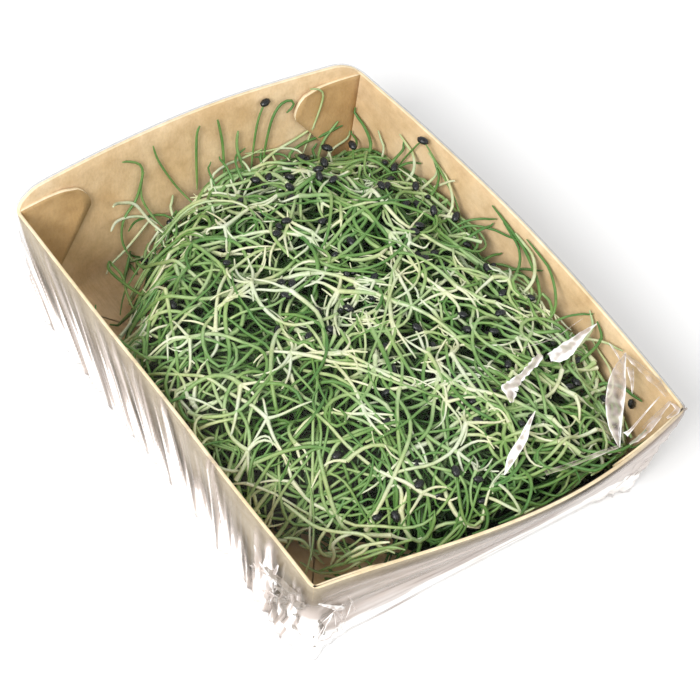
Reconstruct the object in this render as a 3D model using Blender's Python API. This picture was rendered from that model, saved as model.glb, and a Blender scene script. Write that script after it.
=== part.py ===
"""Garlic sprouts heaped in a folded kraft board tray, under a taut clear film.

Metres, +Z up. The tray's long side runs along X. Its walls flare outward and bow, and the
film covers the top, comes down the outside and turns in under the floor. The origin is on
the ground, under the middle of the object's box.
"""

import math
import random

import bmesh
import bpy
from mathutils import Vector, kdtree, noise

# Tray: the floor's edges, and how far the walls lean and bow out from it at the rim.
BOARD = 0.0009
FLOOR_BACK = -0.0640
FLOOR_FRONT = 0.0645
FLOOR_LEFT = -0.0490
FLOOR_RIGHT = 0.0500
WALL_HEIGHT = 0.0338
BACK_RISE = 0.0040
BACK_CORNER_RADIUS = 0.0085
LEAN_BACK = 0.0050
LEAN_FRONT = 0.0060
LEAN_LEFT = 0.0055
LEAN_RIGHT = 0.0050
BOW_BACK = 0.0042
BOW_FRONT = 0.0078
BOW_RIGHT = 0.0040
BOW_POWER = 1.3
FRONT_BOW_SKEW = 1.3
CORNER_C_LEAN = 0.0020

# Glued corner flaps, inside the two short walls.
FLAP_FOOT = 0.0130
FLAP_UPRIGHT = 0.0080
FLAP_ROUND = 0.0060
FLAP_WIDEST = 0.0200
FLAP_WIDEST_HEIGHT = 0.0250
FLAP_TOP = 0.0334
FLAP_PROUD = 0.0007
FLAP_SUNK = 0.0004
FLAP_ROWS = 8
FLAP_COLUMNS = 3

# Film: a sheet a little clear of the board, with a turned-in hem under the floor.
FILM = 0.0006
GAP = 0.0003
HEM_WIDTH = 0.0150
RIM_LAP = 0.0014
FILM_CROWN = 0.0362
PLEAT_DEPTH = 0.0010
PLEAT_COUNT = 12
PLEAT_VARY = 1.7
FILM_TOP_RINGS = 4

# Heap: its height in the middle, and how it falls away towards each wall.
HEAP_TOP = 0.0288
HEAP_CLEAR = 0.0016
HEAP_RINGS = 8
HEAP_BUMP = 0.0022
HEAP_BUMP_SIZE = 0.016
HEAP_THINNEST = 0.0018
SLOPE_REACH = 0.042
BACK_SLOPE_START = 0.026
FRONT_SLOPE_START = 0.030
SIDE_SLOPE_START = 0.020
SIDE_SLOPE_REACH = 0.034
BACK_FALL = 0.0135
BACK_RIGHT_FALL = 0.0060
BACK_RIGHT_REACH = 0.040
FRONT_FALL = 0.0050
RIGHT_FALL = 0.0060
LEFT_FALL = 0.0085
CORNER_HOLLOW = ((0.070, 0.056), 0.0130, 0.030)
WALL_HOLLOW = ((-0.004, 0.056), 0.0050, 0.016)
BARE_FALL_REACH = 0.024
BARE_BACK_CORNER = 0.0790
BARE_FRONT_CORNER = 0.0800

# Strands: three-sided stems that lie on the heap and stand out of it.
STRAND_RADIUS = 0.00078
STRAND_SIDES = 3
STRAND_SEGMENTS = 5
STRAND_COUNT = 126
STRAND_LENGTH = (0.032, 0.052)
STRAND_BEND = 1.3
LOCK_SIZE = 0.040
LOCK_SPREAD = 0.55
STRAND_SINK = 0.0014
STRAND_RIDE = 0.0009
STRAND_LAYERS = 4
LAYER_STEP = 0.0016
STRAND_WANDER = 0.0002
STRAND_MARGIN = 0.0031
STRAND_TO_FLOOR = 0.0013
STRAND_TO_FILM = 0.0016
STRAND_WAVER = 0.12
TIP_NARROWING = 0.6
STRAY_COUNT = 12
STRAY_LENGTH = 0.016
STRAY_RISE = (0.007, 0.014)
STRAY_SWAY = 0.012
STRAY_FROM_BACK = (0.006, 0.014)
STRAY_END_MARGINS = (0.012, 0.008)
SEED_EVERY = 3
PALE_SHARE = 0.3
SEED_LENGTH = 0.0036
SEED_WIDTH = 0.0027
SEED_THICKNESS = 0.0020
RANDOM_SEED = 11

# Mesh density: stations along each wall, and rows up it.
STATIONS = 12
STATION_GATHER = 0.5
ROWS = 3

FLOOR_UNDERSIDE = FILM + GAP
FLOOR_TOP = FLOOR_UNDERSIDE + BOARD
MM = 0.001
WELD = 0.000002


def clear_scene():
    """Remove whatever the file holds."""
    for thing in list(bpy.data.objects):
        bpy.data.objects.remove(thing, do_unlink=True)


def material(name, colour, roughness, alpha=1.0):
    """A plain Principled material."""
    made = bpy.data.materials.new(name)
    made.use_nodes = True
    shader = made.node_tree.nodes["Principled BSDF"]
    shader.inputs["Base Color"].default_value = (*colour, 1.0)
    shader.inputs["Roughness"].default_value = roughness
    shader.inputs["Alpha"].default_value = alpha
    made.diffuse_color = (*colour, alpha)
    return made


def add_object(name, vertices, faces, skin):
    """A mesh object made from points and faces."""
    mesh = bpy.data.meshes.new(name)
    mesh.from_pydata(vertices, [], faces)
    mesh.update()
    mesh.materials.append(skin)
    made = bpy.data.objects.new(name, mesh)
    bpy.context.scene.collection.objects.link(made)
    return made


def clamp(value, low=0.0, high=1.0):
    return max(low, min(high, value))


def wall_point(wall, along, up):
    """A point of a wall's outer face: along it from 0 to 1, and up it, 1 being WALL_HEIGHT."""
    bulge = max(up, 0.0) ** BOW_POWER * math.sin(math.pi * along)
    back = FLOOR_BACK - LEAN_BACK * up
    front = FLOOR_FRONT + LEAN_FRONT * up
    left = FLOOR_LEFT - LEAN_LEFT * up
    right = FLOOR_RIGHT + LEAN_RIGHT * up
    corner_c = CORNER_C_LEAN * up
    if wall == "left":
        return back + (front - back) * along, left
    if wall == "front":
        skewed = max(up, 0.0) ** BOW_POWER * math.sin(math.pi * along ** FRONT_BOW_SKEW)
        x = front + corner_c * along + BOW_FRONT * skewed
        return x, left + (right + corner_c - left) * along
    if wall == "right":
        x = front + corner_c + (back - front - corner_c) * along
        return x, right + corner_c * (1.0 - along) + BOW_RIGHT * bulge
    return back - BOW_BACK * bulge, right + (left - right) * along


def rim_height(wall, along):
    """The rim's height over the floor's underside. The back wall stands higher, with round corners."""
    if wall != "back":
        return WALL_HEIGHT
    width = FLOOR_RIGHT - FLOOR_LEFT
    reach = clamp(min(along, 1.0 - along) * width / BACK_CORNER_RADIUS)
    return WALL_HEIGHT + BACK_RISE * (1.0 - (1.0 - reach) ** 2)


def perimeter(stations_left=STATIONS):
    """The stations round the tray as (wall, along), anticlockwise from the back left corner."""
    stops = []
    for wall in ("left", "front", "right", "back"):
        count = stations_left if wall == "left" else STATIONS
        for index in range(count):
            even = index / count
            gathered = 0.5 - 0.5 * math.cos(math.pi * even)
            along = even if wall == "left" else even + (gathered - even) * STATION_GATHER
            stops.append((wall, along))
    return stops


def offset_ring(ring, distance):
    """A closed anticlockwise outline moved outward by a distance, with mitred corners."""
    moved = []
    for index, here in enumerate(ring):
        before = (here - ring[index - 1]).normalized()
        after = (ring[(index + 1) % len(ring)] - here).normalized()
        normal = Vector((before.y, -before.x)) + Vector((after.y, -after.x))
        scale = distance / max(0.5, normal.length_squared / 2.0)
        moved.append(here + normal * scale)
    return moved


def wall_heights(stops, share):
    """Heights over the floor's underside at a share of the way from the floor to the rim."""
    return [rim_height(wall, along) * share for wall, along in stops]


def outline(stops, heights, distance):
    """The walls' outer outline at a height for each station, moved out by a distance."""
    ring = []
    for (wall, along), height in zip(stops, heights):
        ring.append(Vector(wall_point(wall, along, height / WALL_HEIGHT)))
    return offset_ring(ring, distance)


def lifted(ring, heights):
    """An outline's points at their heights over the floor's underside."""
    return [Vector((point.x, point.y, z + FLOOR_UNDERSIDE)) for point, z in zip(ring, heights)]


def join_rings(rings):
    """Triangles between rings of equal length, all split the same way, so that sheets nest."""
    count = len(rings[0])
    faces = []
    for row in range(len(rings) - 1):
        for index in range(count):
            here = row * count + index
            beside = row * count + (index + 1) % count
            faces.append((here, beside, beside + count))
            faces.append((here, beside + count, here + count))
    return faces


def shell_object(name, rings, skin, close_first, close_last):
    """A closed body from rings, its first and last ring filled where asked."""
    vertices = [point for ring in rings for point in ring]
    faces = join_rings(rings)
    count = len(rings[0])
    last = (len(rings) - 1) * count
    if close_first:
        faces.append(tuple(reversed(range(count))))
    if close_last:
        faces.append(tuple(range(last, last + count)))
    made = add_object(name, vertices, faces, skin)
    face_out(made)
    return made


def face_out(made):
    """Turn every face of a closed mesh outward and split what has more than four corners."""
    shape = bmesh.new()
    shape.from_mesh(made.data)
    bmesh.ops.triangulate(shape, faces=[face for face in shape.faces if len(face.verts) > 4])
    bmesh.ops.recalc_face_normals(shape, faces=shape.faces)
    if shape.calc_volume(signed=True) < 0.0:
        bmesh.ops.reverse_faces(shape, faces=shape.faces)
    shape.to_mesh(made.data)
    shape.free()


def union(name, pieces, solver):
    """Fuse the pieces into the first one, which takes the name. The others are removed."""
    keep = pieces[0]
    others = bpy.data.collections.new(name + " pieces")
    bpy.context.scene.collection.children.link(others)
    for piece in pieces[1:]:
        others.objects.link(piece)
        bpy.context.scene.collection.objects.unlink(piece)
    fuse = keep.modifiers.new("Union", "BOOLEAN")
    fuse.operation = "UNION"
    fuse.operand_type = "COLLECTION"
    fuse.collection = others
    fuse.solver = solver
    bpy.context.view_layer.objects.active = keep
    bpy.ops.object.modifier_apply(modifier=fuse.name)
    for piece in list(others.objects):
        bpy.data.objects.remove(piece, do_unlink=True)
    bpy.data.collections.remove(others)
    keep.name = name
    keep.data.name = name
    return keep


def keep_one_body(made):
    """Drop loose scraps and sealed hollows: only the largest run of joined faces stays."""
    shape = bmesh.new()
    shape.from_mesh(made.data)
    bmesh.ops.triangulate(shape, faces=shape.faces)
    bmesh.ops.remove_doubles(shape, verts=shape.verts, dist=WELD)
    bmesh.ops.dissolve_degenerate(shape, edges=shape.edges, dist=WELD)
    unseen = set(shape.faces)
    groups = []
    while unseen:
        group = []
        waiting = [unseen.pop()]
        while waiting:
            face = waiting.pop()
            group.append(face)
            for edge in face.edges:
                beside = edge.link_faces if len(edge.link_faces) == 2 else ()
                for other in beside:
                    if other in unseen:
                        unseen.discard(other)
                        waiting.append(other)
        groups.append(group)
    groups.sort(key=len)
    for group in groups[:-1]:
        bmesh.ops.delete(shape, geom=group, context="FACES")
    shape.to_mesh(made.data)
    shape.free()
    print(made.name, "shells dropped:", len(groups) - 1)


def tray_blank(skin):
    """The folded board: floor and four walls of one thickness."""
    stops = perimeter()
    outer = []
    inner = []
    for row in range(ROWS + 1):
        heights = wall_heights(stops, row / ROWS)
        outer.append(lifted(outline(stops, heights, 0.0), heights))
        if row == 0:
            heights = [BOARD] * len(stops)
        inner.append(lifted(outline(stops, heights, -BOARD), heights))
    return shell_object("tray blank", outer + inner[::-1], skin, True, True)


def flap_width(height):
    """How far a corner flap reaches from the corner at a height over the floor."""
    if height <= FLAP_WIDEST_HEIGHT:
        grown = clamp((height - FLAP_UPRIGHT) / (FLAP_WIDEST_HEIGHT - FLAP_UPRIGHT))
        return FLAP_FOOT + (FLAP_WIDEST - FLAP_FOOT) * grown
    over = (height - FLAP_WIDEST_HEIGHT) / (FLAP_TOP - FLAP_WIDEST_HEIGHT)
    return FLAP_WIDEST - FLAP_ROUND * (1.0 - math.sqrt(max(0.0, 1.0 - over * over)))


def corner_flap(wall, from_start, skin):
    """A thin flap glued to the inside of a short wall at one of its ends."""
    length = FLOOR_RIGHT - FLOOR_LEFT
    inward = 1.0 if wall == "back" else -1.0
    low = BOARD / 2.0
    near = BOARD / 2.0
    points = []
    for depth in (BOARD - FLAP_SUNK, BOARD + FLAP_PROUD):
        for row in range(FLAP_ROWS + 1):
            height = low + (FLAP_TOP - low) * row / FLAP_ROWS
            for column in range(FLAP_COLUMNS + 1):
                reach = near + (flap_width(height) - near) * column / FLAP_COLUMNS
                along = reach / length if from_start else 1.0 - reach / length
                x, y = wall_point(wall, along, height / WALL_HEIGHT)
                points.append(Vector((x + inward * depth, y, FLOOR_UNDERSIDE + height)))
    across = FLAP_COLUMNS + 1
    sheet = len(points) // 2
    faces = []
    for row in range(FLAP_ROWS):
        for column in range(FLAP_COLUMNS):
            here = row * across + column
            patch = (here, here + 1, here + across + 1, here + across)
            faces.append(patch)
            faces.append(tuple(sheet + index for index in reversed(patch)))
    rim = list(range(across))
    rim += [row * across + FLAP_COLUMNS for row in range(1, FLAP_ROWS + 1)]
    rim += [FLAP_ROWS * across + column for column in range(FLAP_COLUMNS - 1, -1, -1)]
    rim += [row * across for row in range(FLAP_ROWS - 1, 0, -1)]
    for index, here in enumerate(rim):
        after = rim[(index + 1) % len(rim)]
        faces.append((here, here + sheet, after + sheet, after))
    made = add_object("flap", points, faces, skin)
    face_out(made)
    return made


def make_tray():
    skin = material("kraft board", (0.62, 0.44, 0.24), 0.85)
    pieces = [tray_blank(skin)]
    for wall in ("back", "front"):
        for from_start in (True, False):
            pieces.append(corner_flap(wall, from_start, skin))
    tray = union("tray", pieces, "EXACT")
    keep_one_body(tray)
    return tray


def pleat(stop):
    """How far the film stands off the left wall at a station: every other one is a pleat's crest."""
    wall, along = stop
    index = round(along * PLEAT_COUNT * 2)
    if wall != "left" or index % 2 == 0:
        return 0.0
    return PLEAT_DEPTH * (0.6 + 0.4 * math.sin(PLEAT_VARY * index))


def film_height(x):
    """The taut film's inner face over the heap: it slopes from the high back rim to a flat crown."""
    towards_back = clamp(x / FLOOR_BACK) ** 2
    return FILM_CROWN + (FLOOR_UNDERSIDE + WALL_HEIGHT + BACK_RISE - FILM_CROWN) * towards_back


def film_sheet(stops, clear, hem_z):
    """One face of the film, from the hem's inner edge up the walls and in over the top."""
    foot = [0.0] * len(stops)
    below = [hem_z - FLOOR_UNDERSIDE] * len(stops)
    hem = []
    for point in outline(stops, foot, 0.0):
        x = point.x * (1.0 - HEM_WIDTH / FLOOR_FRONT)
        hem.append(Vector((x, point.y * (1.0 - HEM_WIDTH / FLOOR_RIGHT))))
    rings = [lifted(hem, below)]
    for row in range(ROWS + 1):
        share = row / ROWS
        heights = wall_heights(stops, share)
        ring = outline(stops, heights, clear)
        loose = outline(stops, heights, clear + MM)
        fullness = 0.25 + 0.75 * math.sin(math.pi * share)
        for index, stop in enumerate(stops):
            out = (loose[index] - ring[index]) / MM
            ring[index] = ring[index] + out * pleat(stop) * fullness
        if row == 0:
            heights = below
        if row == ROWS:
            heights = [height + clear for height in heights]
        rings.append(lifted(ring, heights))
    edge = lifted(outline(stops, heights, -RIM_LAP), heights)
    rings.append(edge)
    for step in range(1, FILM_TOP_RINGS + 1):
        left = 1.0 - (step / (FILM_TOP_RINGS + 1)) ** 0.8
        blend = clamp(step / 2.0)
        ring = []
        for point in edge:
            x = point.x * left
            z = point.z + (film_height(x) + clear - point.z) * blend
            ring.append(Vector((x, point.y * left, z)))
        rings.append(ring)
    return rings


def make_film():
    skin = material("clear film", (0.93, 0.95, 0.95), 0.12, alpha=0.25)
    stops = perimeter(PLEAT_COUNT * 2)
    outer = film_sheet(stops, GAP + FILM, 0.0)
    inner = film_sheet(stops, GAP, FILM)
    count = len(stops)
    vertices = []
    faces = []
    for sheet in (outer, inner):
        start = len(vertices)
        vertices += [point for ring in sheet for point in ring]
        faces += [tuple(start + index for index in face) for face in join_rings(sheet)]
        middle = len(vertices)
        vertices.append(Vector((0.0, 0.0, sheet[-1][0].z)))
        last = middle - count
        for index in range(count):
            faces.append((last + index, last + (index + 1) % count, middle))
    size = len(vertices) // 2
    for index in range(count):
        after = (index + 1) % count
        faces.append((index, index + size, after + size, after))
    film = add_object("film", vertices, faces, skin)
    face_out(film)
    return film


def slope(distance, reach, power):
    """Nought up to where a slope starts, rising to one over its reach."""
    return clamp(distance / reach) ** power


def heap_height(x, y):
    """The core's top over the ground at a place on the floor."""
    towards_back = slope(-x - BACK_SLOPE_START, SLOPE_REACH, 1.5)
    towards_front = slope(x - FRONT_SLOPE_START, SLOPE_REACH, 1.5)
    towards_side = slope(abs(y) - SIDE_SLOPE_START, SIDE_SLOPE_REACH, 1.5)
    height = HEAP_TOP
    height -= BACK_FALL * towards_back
    height -= BACK_RIGHT_FALL * towards_back * clamp(y / BACK_RIGHT_REACH)
    height -= FRONT_FALL * towards_front
    height -= (RIGHT_FALL if y > 0.0 else LEFT_FALL) * towards_side
    for (hollow_x, hollow_y), depth, radius in (CORNER_HOLLOW, WALL_HOLLOW):
        distance = math.hypot(x - hollow_x, y - hollow_y)
        height -= depth * clamp(1.0 - distance / radius)
    for bare, nearness in ((BARE_BACK_CORNER, -(x + y)), (BARE_FRONT_CORNER, x - y)):
        fall = slope(nearness - bare + BARE_FALL_REACH, BARE_FALL_REACH, 1.6)
        height -= (height - FLOOR_TOP - HEAP_THINNEST) * fall
    swell = noise.noise(Vector((x, y, 0.3)) / HEAP_BUMP_SIZE)
    return max(FLOOR_TOP + HEAP_THINNEST, height + HEAP_BUMP * swell)


def heap_edge(x, y):
    """How much of the way from the middle to a wall point the heap reaches."""
    reach = 1.0
    if -(x + y) > BARE_BACK_CORNER:
        reach = min(reach, BARE_BACK_CORNER / -(x + y))
    if x - y > BARE_FRONT_CORNER:
        reach = min(reach, BARE_FRONT_CORNER / (x - y))
    return reach


def heap_core(skin):
    """The packed inside of the heap, as one low mound that keeps clear of the board."""
    stops = perimeter()
    clear = -(BOARD + HEAP_CLEAR)
    low = [BOARD + GAP] * len(stops)
    foot = [point * heap_edge(*point) for point in outline(stops, low, clear)]
    rings = [lifted(foot, low)]
    high = [heap_height(*point) - FLOOR_UNDERSIDE for point in foot]
    edge = [point * heap_edge(*point) for point in outline(stops, high, clear)]
    top = lifted(edge, high)
    rings.append(top)
    for ring in range(1, HEAP_RINGS):
        left = 1.0 - ring / HEAP_RINGS
        inner = []
        for point in top:
            x = point.x * left
            y = point.y * left
            inner.append(Vector((x, y, heap_height(x, y))))
        rings.append(inner)
    return shell_object("heap core", rings, skin, True, True)


def settle(x, y, z):
    """A point moved to where a strand's middle line stays clear of board and film."""
    z = clamp(z, FLOOR_TOP + STRAND_TO_FLOOR, FILM_CROWN - STRAND_TO_FILM)
    up = (z - FLOOR_UNDERSIDE) / WALL_HEIGHT
    along_x = clamp((x - FLOOR_BACK) / (FLOOR_FRONT - FLOOR_BACK))
    along_y = clamp((y - FLOOR_LEFT) / (FLOOR_RIGHT - FLOOR_LEFT))
    back = wall_point("back", 1.0 - along_y, up)[0] + STRAND_MARGIN
    front = wall_point("front", along_y, up)[0] - STRAND_MARGIN
    left = wall_point("left", along_x, up)[1] + STRAND_MARGIN
    right = wall_point("right", 1.0 - along_x, up)[1] - STRAND_MARGIN
    return Vector((clamp(x, back, front), clamp(y, left, right), z))


def tube(name, path, radius, skin):
    """A closed tube of few sides along a path, with blunt ends."""
    rings = []
    for index, here in enumerate(path):
        before = path[max(index - 1, 0)]
        after = path[min(index + 1, len(path) - 1)]
        run = (after - before).normalized()
        side = run.cross(Vector((0.0, 0.0, 1.0))).normalized()
        over = side.cross(run)
        narrow = TIP_NARROWING if index in (0, len(path) - 1) else 1.0
        ring = []
        for corner in range(STRAND_SIDES):
            turn = 2.0 * math.pi * corner / STRAND_SIDES + math.pi / 2.0
            out = side * math.cos(turn) + over * math.sin(turn)
            ring.append(here + out * radius * narrow)
        rings.append(ring)
    return shell_object(name, rings, skin, True, True)


def seed_coat(path, skin):
    """A small flattened seed coat over a strand's tip."""
    direction = (path[-1] - path[-2]).normalized()
    place = path[-1] - direction * SEED_LENGTH / 3.0
    mesh = bpy.data.meshes.new("seed")
    shape = bmesh.new()
    bmesh.ops.create_icosphere(shape, subdivisions=1, radius=0.5)
    stretch = Vector((SEED_LENGTH, SEED_WIDTH, SEED_THICKNESS))
    turn = math.atan2(direction.y, direction.x)
    for vertex in shape.verts:
        point = Vector((vertex.co.x * stretch.x, vertex.co.y * stretch.y, vertex.co.z * stretch.z))
        x = point.x * math.cos(turn) - point.y * math.sin(turn)
        y = point.x * math.sin(turn) + point.y * math.cos(turn)
        vertex.co = Vector((x, y, point.z)) + place
    shape.to_mesh(mesh)
    shape.free()
    mesh.materials.append(skin)
    made = bpy.data.objects.new("seed", mesh)
    bpy.context.scene.collection.objects.link(made)
    return made


def strand_path(draw, x, y, heading, length, bend, ride, free_end):
    """The middle line of one strand: rooted in the heap, level over it, its end free or tucked in."""
    points = []
    for index in range(STRAND_SEGMENTS + 1):
        rooted = index == 0 or (index == STRAND_SEGMENTS and not free_end)
        height = -STRAND_SINK if rooted else ride + draw.uniform(-STRAND_WANDER, STRAND_WANDER)
        points.append(settle(x, y, heap_height(x, y) + height))
        heading += bend / STRAND_SEGMENTS + draw.uniform(-STRAND_WAVER, STRAND_WAVER)
        x += length / STRAND_SEGMENTS * math.cos(heading)
        y += length / STRAND_SEGMENTS * math.sin(heading)
    return points


def fine_points(path):
    """A strand's points, with three more between each two."""
    points = [path[-1]]
    for here, after in zip(path, path[1:]):
        points += [here.lerp(after, part / 4.0) for part in range(4)]
    return points


def runs_into(line, placed):
    """Whether one more strand would run into those that are there already."""
    for point in line:
        nearest = placed.find(point)[2]
        if nearest is not None and nearest < STRAND_RADIUS * 2.0:
            return True
    return False


def tree_of(points):
    """A search tree of the points."""
    tree = kdtree.KDTree(len(points))
    for index, point in enumerate(points):
        tree.insert(point, index)
    tree.balance()
    return tree


def lock_heading(x, y):
    """The way that the strands of a lock run: it turns slowly from place to place."""
    return 2.0 * math.pi * noise.noise(Vector((x, y, 0.7)) / LOCK_SIZE) + 0.9


def lying_strands(draw, green, pale, black):
    """The strands over the whole heap, in layers, each tried again until it runs into no other."""
    pieces = []
    taken = []
    placed = tree_of(taken)
    made = 0
    while made < STRAND_COUNT:
        x = draw.uniform(FLOOR_BACK, FLOOR_FRONT)
        y = draw.uniform(FLOOR_LEFT, FLOOR_RIGHT)
        if heap_edge(x, y) < 1.0:
            continue
        heading = lock_heading(x, y) + draw.gauss(0.0, LOCK_SPREAD)
        length = draw.uniform(*STRAND_LENGTH)
        bend = draw.uniform(-STRAND_BEND, STRAND_BEND)
        free_end = made % SEED_EVERY == 0
        x -= 0.5 * length * math.cos(heading + bend / 2.0)
        y -= 0.5 * length * math.sin(heading + bend / 2.0)
        start = settle(x, y, HEAP_TOP)
        ride = STRAND_RIDE + LAYER_STEP * (made % STRAND_LAYERS)
        path = strand_path(draw, start.x, start.y, heading, length, bend, ride, free_end)
        line = fine_points(path)
        if runs_into(line, placed):
            continue
        taken += line
        placed = tree_of(taken)
        made += 1
        skin = pale if draw.random() < PALE_SHARE else green
        pieces.append(tube("strand", path, STRAND_RADIUS, skin))
        if free_end:
            pieces.append(seed_coat(path, black))
    return pieces


def stray_strands(draw, green, pale, black):
    """The strays that stand out of the heap towards the back wall, in a row along it."""
    pieces = []
    first = FLOOR_LEFT + STRAY_END_MARGINS[0]
    last = FLOOR_RIGHT - STRAY_END_MARGINS[1]
    for index in range(STRAY_COUNT):
        y = first + (last - first) * index / (STRAY_COUNT - 1)
        x = FLOOR_BACK + draw.uniform(*STRAY_FROM_BACK)
        root = settle(x, y, heap_height(x, y) - STRAND_SINK)
        rise = draw.uniform(*STRAY_RISE)
        sway = STRAY_SWAY * math.sin(index * 2.1)
        path = []
        for step in range(STRAND_SEGMENTS + 1):
            done = step / STRAND_SEGMENTS
            height = root.z + rise * math.sin(done * 1.9)
            path.append(settle(root.x - STRAY_LENGTH * done, root.y + sway * done ** 2, height))
        pieces.append(tube("stray", path, STRAND_RADIUS, green if index % 2 else pale))
        if index % SEED_EVERY == 1:
            pieces.append(seed_coat(path, black))
    return pieces


def make_sprouts():
    green = material("sprout green", (0.25, 0.42, 0.16), 0.55)
    pale = material("sprout pale", (0.78, 0.82, 0.60), 0.55)
    black = material("seed coat", (0.012, 0.016, 0.018), 0.35)
    core = heap_core(green)
    for skin in (pale, black):
        core.data.materials.append(skin)
    draw = random.Random(RANDOM_SEED)
    pieces = [core]
    pieces += lying_strands(draw, green, pale, black)
    pieces += stray_strands(draw, green, pale, black)
    sprouts = union("sprouts", pieces, "MANIFOLD")
    keep_one_body(sprouts)
    return sprouts


def centre_on_origin(made):
    """Move every object so that the origin is under the middle of the whole box."""
    points = [thing.matrix_world @ vertex.co for thing in made for vertex in thing.data.vertices]
    low = [min(point[axis] for point in points) for axis in range(3)]
    high = [max(point[axis] for point in points) for axis in range(3)]
    shift = Vector((-(low[0] + high[0]) / 2.0, -(low[1] + high[1]) / 2.0, -low[2]))
    for thing in made:
        for vertex in thing.data.vertices:
            vertex.co += shift
    print("moved by, in mm:", [round(value / MM, 3) for value in shift])


def main():
    clear_scene()
    tray = make_tray()
    film = make_film()
    sprouts = make_sprouts()
    centre_on_origin([tray, film, sprouts])
    for thing in (tray, film, sprouts):
        print(thing.name, len(thing.data.polygons), "faces")


main()
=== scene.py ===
# %% [markdown]
# # Garlic sprouts in a kraft board tray, under clear film
#
# The real object is a small punnet: a tray folded from one sheet of kraft board, a tangled
# heap of garlic sprouts in it, and a clear film pulled tight round both. Plain solids of all
# three come first. They carry the object's size and its weight, and each piece made below
# takes the place of one of them, in the same spot and at the same size.

# %% Load the solids
import math
import random

import bmesh
import bpy
import numpy as np
from mathutils import Matrix, Vector, noise
from mathutils.bvhtree import BVHTree


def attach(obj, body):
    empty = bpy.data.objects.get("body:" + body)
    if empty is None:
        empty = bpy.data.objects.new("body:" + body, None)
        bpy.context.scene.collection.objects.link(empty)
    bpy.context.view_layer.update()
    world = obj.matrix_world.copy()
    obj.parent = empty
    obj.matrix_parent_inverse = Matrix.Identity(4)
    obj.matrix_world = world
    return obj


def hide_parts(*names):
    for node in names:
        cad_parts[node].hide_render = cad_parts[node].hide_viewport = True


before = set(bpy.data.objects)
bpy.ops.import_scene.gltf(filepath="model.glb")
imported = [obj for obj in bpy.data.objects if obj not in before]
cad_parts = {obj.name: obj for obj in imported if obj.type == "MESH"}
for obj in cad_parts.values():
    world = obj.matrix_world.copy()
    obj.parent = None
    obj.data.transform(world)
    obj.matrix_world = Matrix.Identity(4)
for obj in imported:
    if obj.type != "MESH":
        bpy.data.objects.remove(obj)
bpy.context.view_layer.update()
print("solids:", sorted(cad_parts))

# %% [markdown]
# ## The tray's measures
#
# The tray is drawn from its floor outwards: four walls of one height that lean out, and three
# of them bow. One rule gives any point of any wall, so the board, the film over it and the
# sprouts inside it all follow the same surface. The rule works from the middle of the tray's
# floor. The object's own origin is under the middle of its whole box, a few millimetres off,
# so every finished mesh is moved by that much.

# %% Measures of the tray
MM = 0.001
TO_ORIGIN = Vector((-0.002523, -0.002625, 0.0))
BOARD = 0.0009
FLOOR_BACK, FLOOR_FRONT = -0.0640, 0.0645
FLOOR_LEFT, FLOOR_RIGHT = -0.0490, 0.0500
WALL_HEIGHT = 0.0338
BACK_RISE, BACK_CORNER_RADIUS = 0.0040, 0.0085
LEAN_BACK, LEAN_FRONT, LEAN_LEFT, LEAN_RIGHT = 0.0050, 0.0060, 0.0055, 0.0050
BOW_BACK, BOW_FRONT, BOW_RIGHT, BOW_POWER = 0.0042, 0.0078, 0.0040, 1.3
FRONT_BOW_SKEW = 1.3
CORNER_C_LEAN = 0.0020
UNDERSIDE = 0.0009
FLOOR_TOP = UNDERSIDE + BOARD
WALLS = ("left", "front", "right", "back")
LENGTHS = {"left": FLOOR_FRONT - FLOOR_BACK, "front": FLOOR_RIGHT - FLOOR_LEFT}
LENGTHS.update(right=LENGTHS["left"], back=LENGTHS["front"])


def clamp(value, low=0.0, high=1.0):
    return max(low, min(high, value))


def wall_point(wall, along, up):
    """A point of a wall's outer face: along it from 0 to 1, and up it, 1 being the rim."""
    rise = max(up, 0.0) ** BOW_POWER
    bulge = rise * math.sin(math.pi * along)
    back = FLOOR_BACK - LEAN_BACK * up
    front = FLOOR_FRONT + LEAN_FRONT * up
    left = FLOOR_LEFT - LEAN_LEFT * up
    right = FLOOR_RIGHT + LEAN_RIGHT * up
    corner_c = CORNER_C_LEAN * up
    if wall == "left":
        return Vector((back + (front - back) * along, left))
    if wall == "front":
        skewed = rise * math.sin(math.pi * along ** FRONT_BOW_SKEW)
        x = front + corner_c * along + BOW_FRONT * skewed
        return Vector((x, left + (right + corner_c - left) * along))
    if wall == "right":
        x = front + corner_c + (back - front - corner_c) * along
        return Vector((x, right + corner_c * (1.0 - along) + BOW_RIGHT * bulge))
    return Vector((back - BOW_BACK * bulge, right + (left - right) * along))


def rim_height(wall, along):
    """The rim over the floor's underside. The back wall stands higher, with round corners."""
    if wall != "back":
        return WALL_HEIGHT
    reach = clamp(min(along, 1.0 - along) * LENGTHS["back"] / BACK_CORNER_RADIUS)
    return WALL_HEIGHT + BACK_RISE * (1.0 - (1.0 - reach) ** 2)


print("rim at", round((UNDERSIDE + WALL_HEIGHT) / MM, 1), "mm, back rim at",
      round((UNDERSIDE + rim_height("back", 0.5)) / MM, 1), "mm")

# %% [markdown]
# ## Rings round the tray
#
# Board that is folded has no razor edge: at a corner it turns through a small radius. A list
# of stations goes round the tray, each one a wall and a place along it, with three more in the
# round of every corner. A ring is the outline through all stations at one height. Board and
# film are both stacks of such rings, so they can't run into each other.

# %% Stations and rings
CORNER_ROUND = 0.0022
SWELL = 0.00022
SWELL_SIZE = 0.030


def stations(counts):
    """(wall, along, turn) round the tray; turn is None on a wall, and 0 to 1 round a corner."""
    stops = []
    for wall in WALLS:
        trim = CORNER_ROUND / LENGTHS[wall]
        count = counts[wall]
        for index in range(count):
            stops.append((wall, trim + (1.0 - 2.0 * trim) * index / (count - 1), None))
        stops += [(wall, 1.0, turn) for turn in (0.25, 0.5, 0.75)]
    return stops


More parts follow.
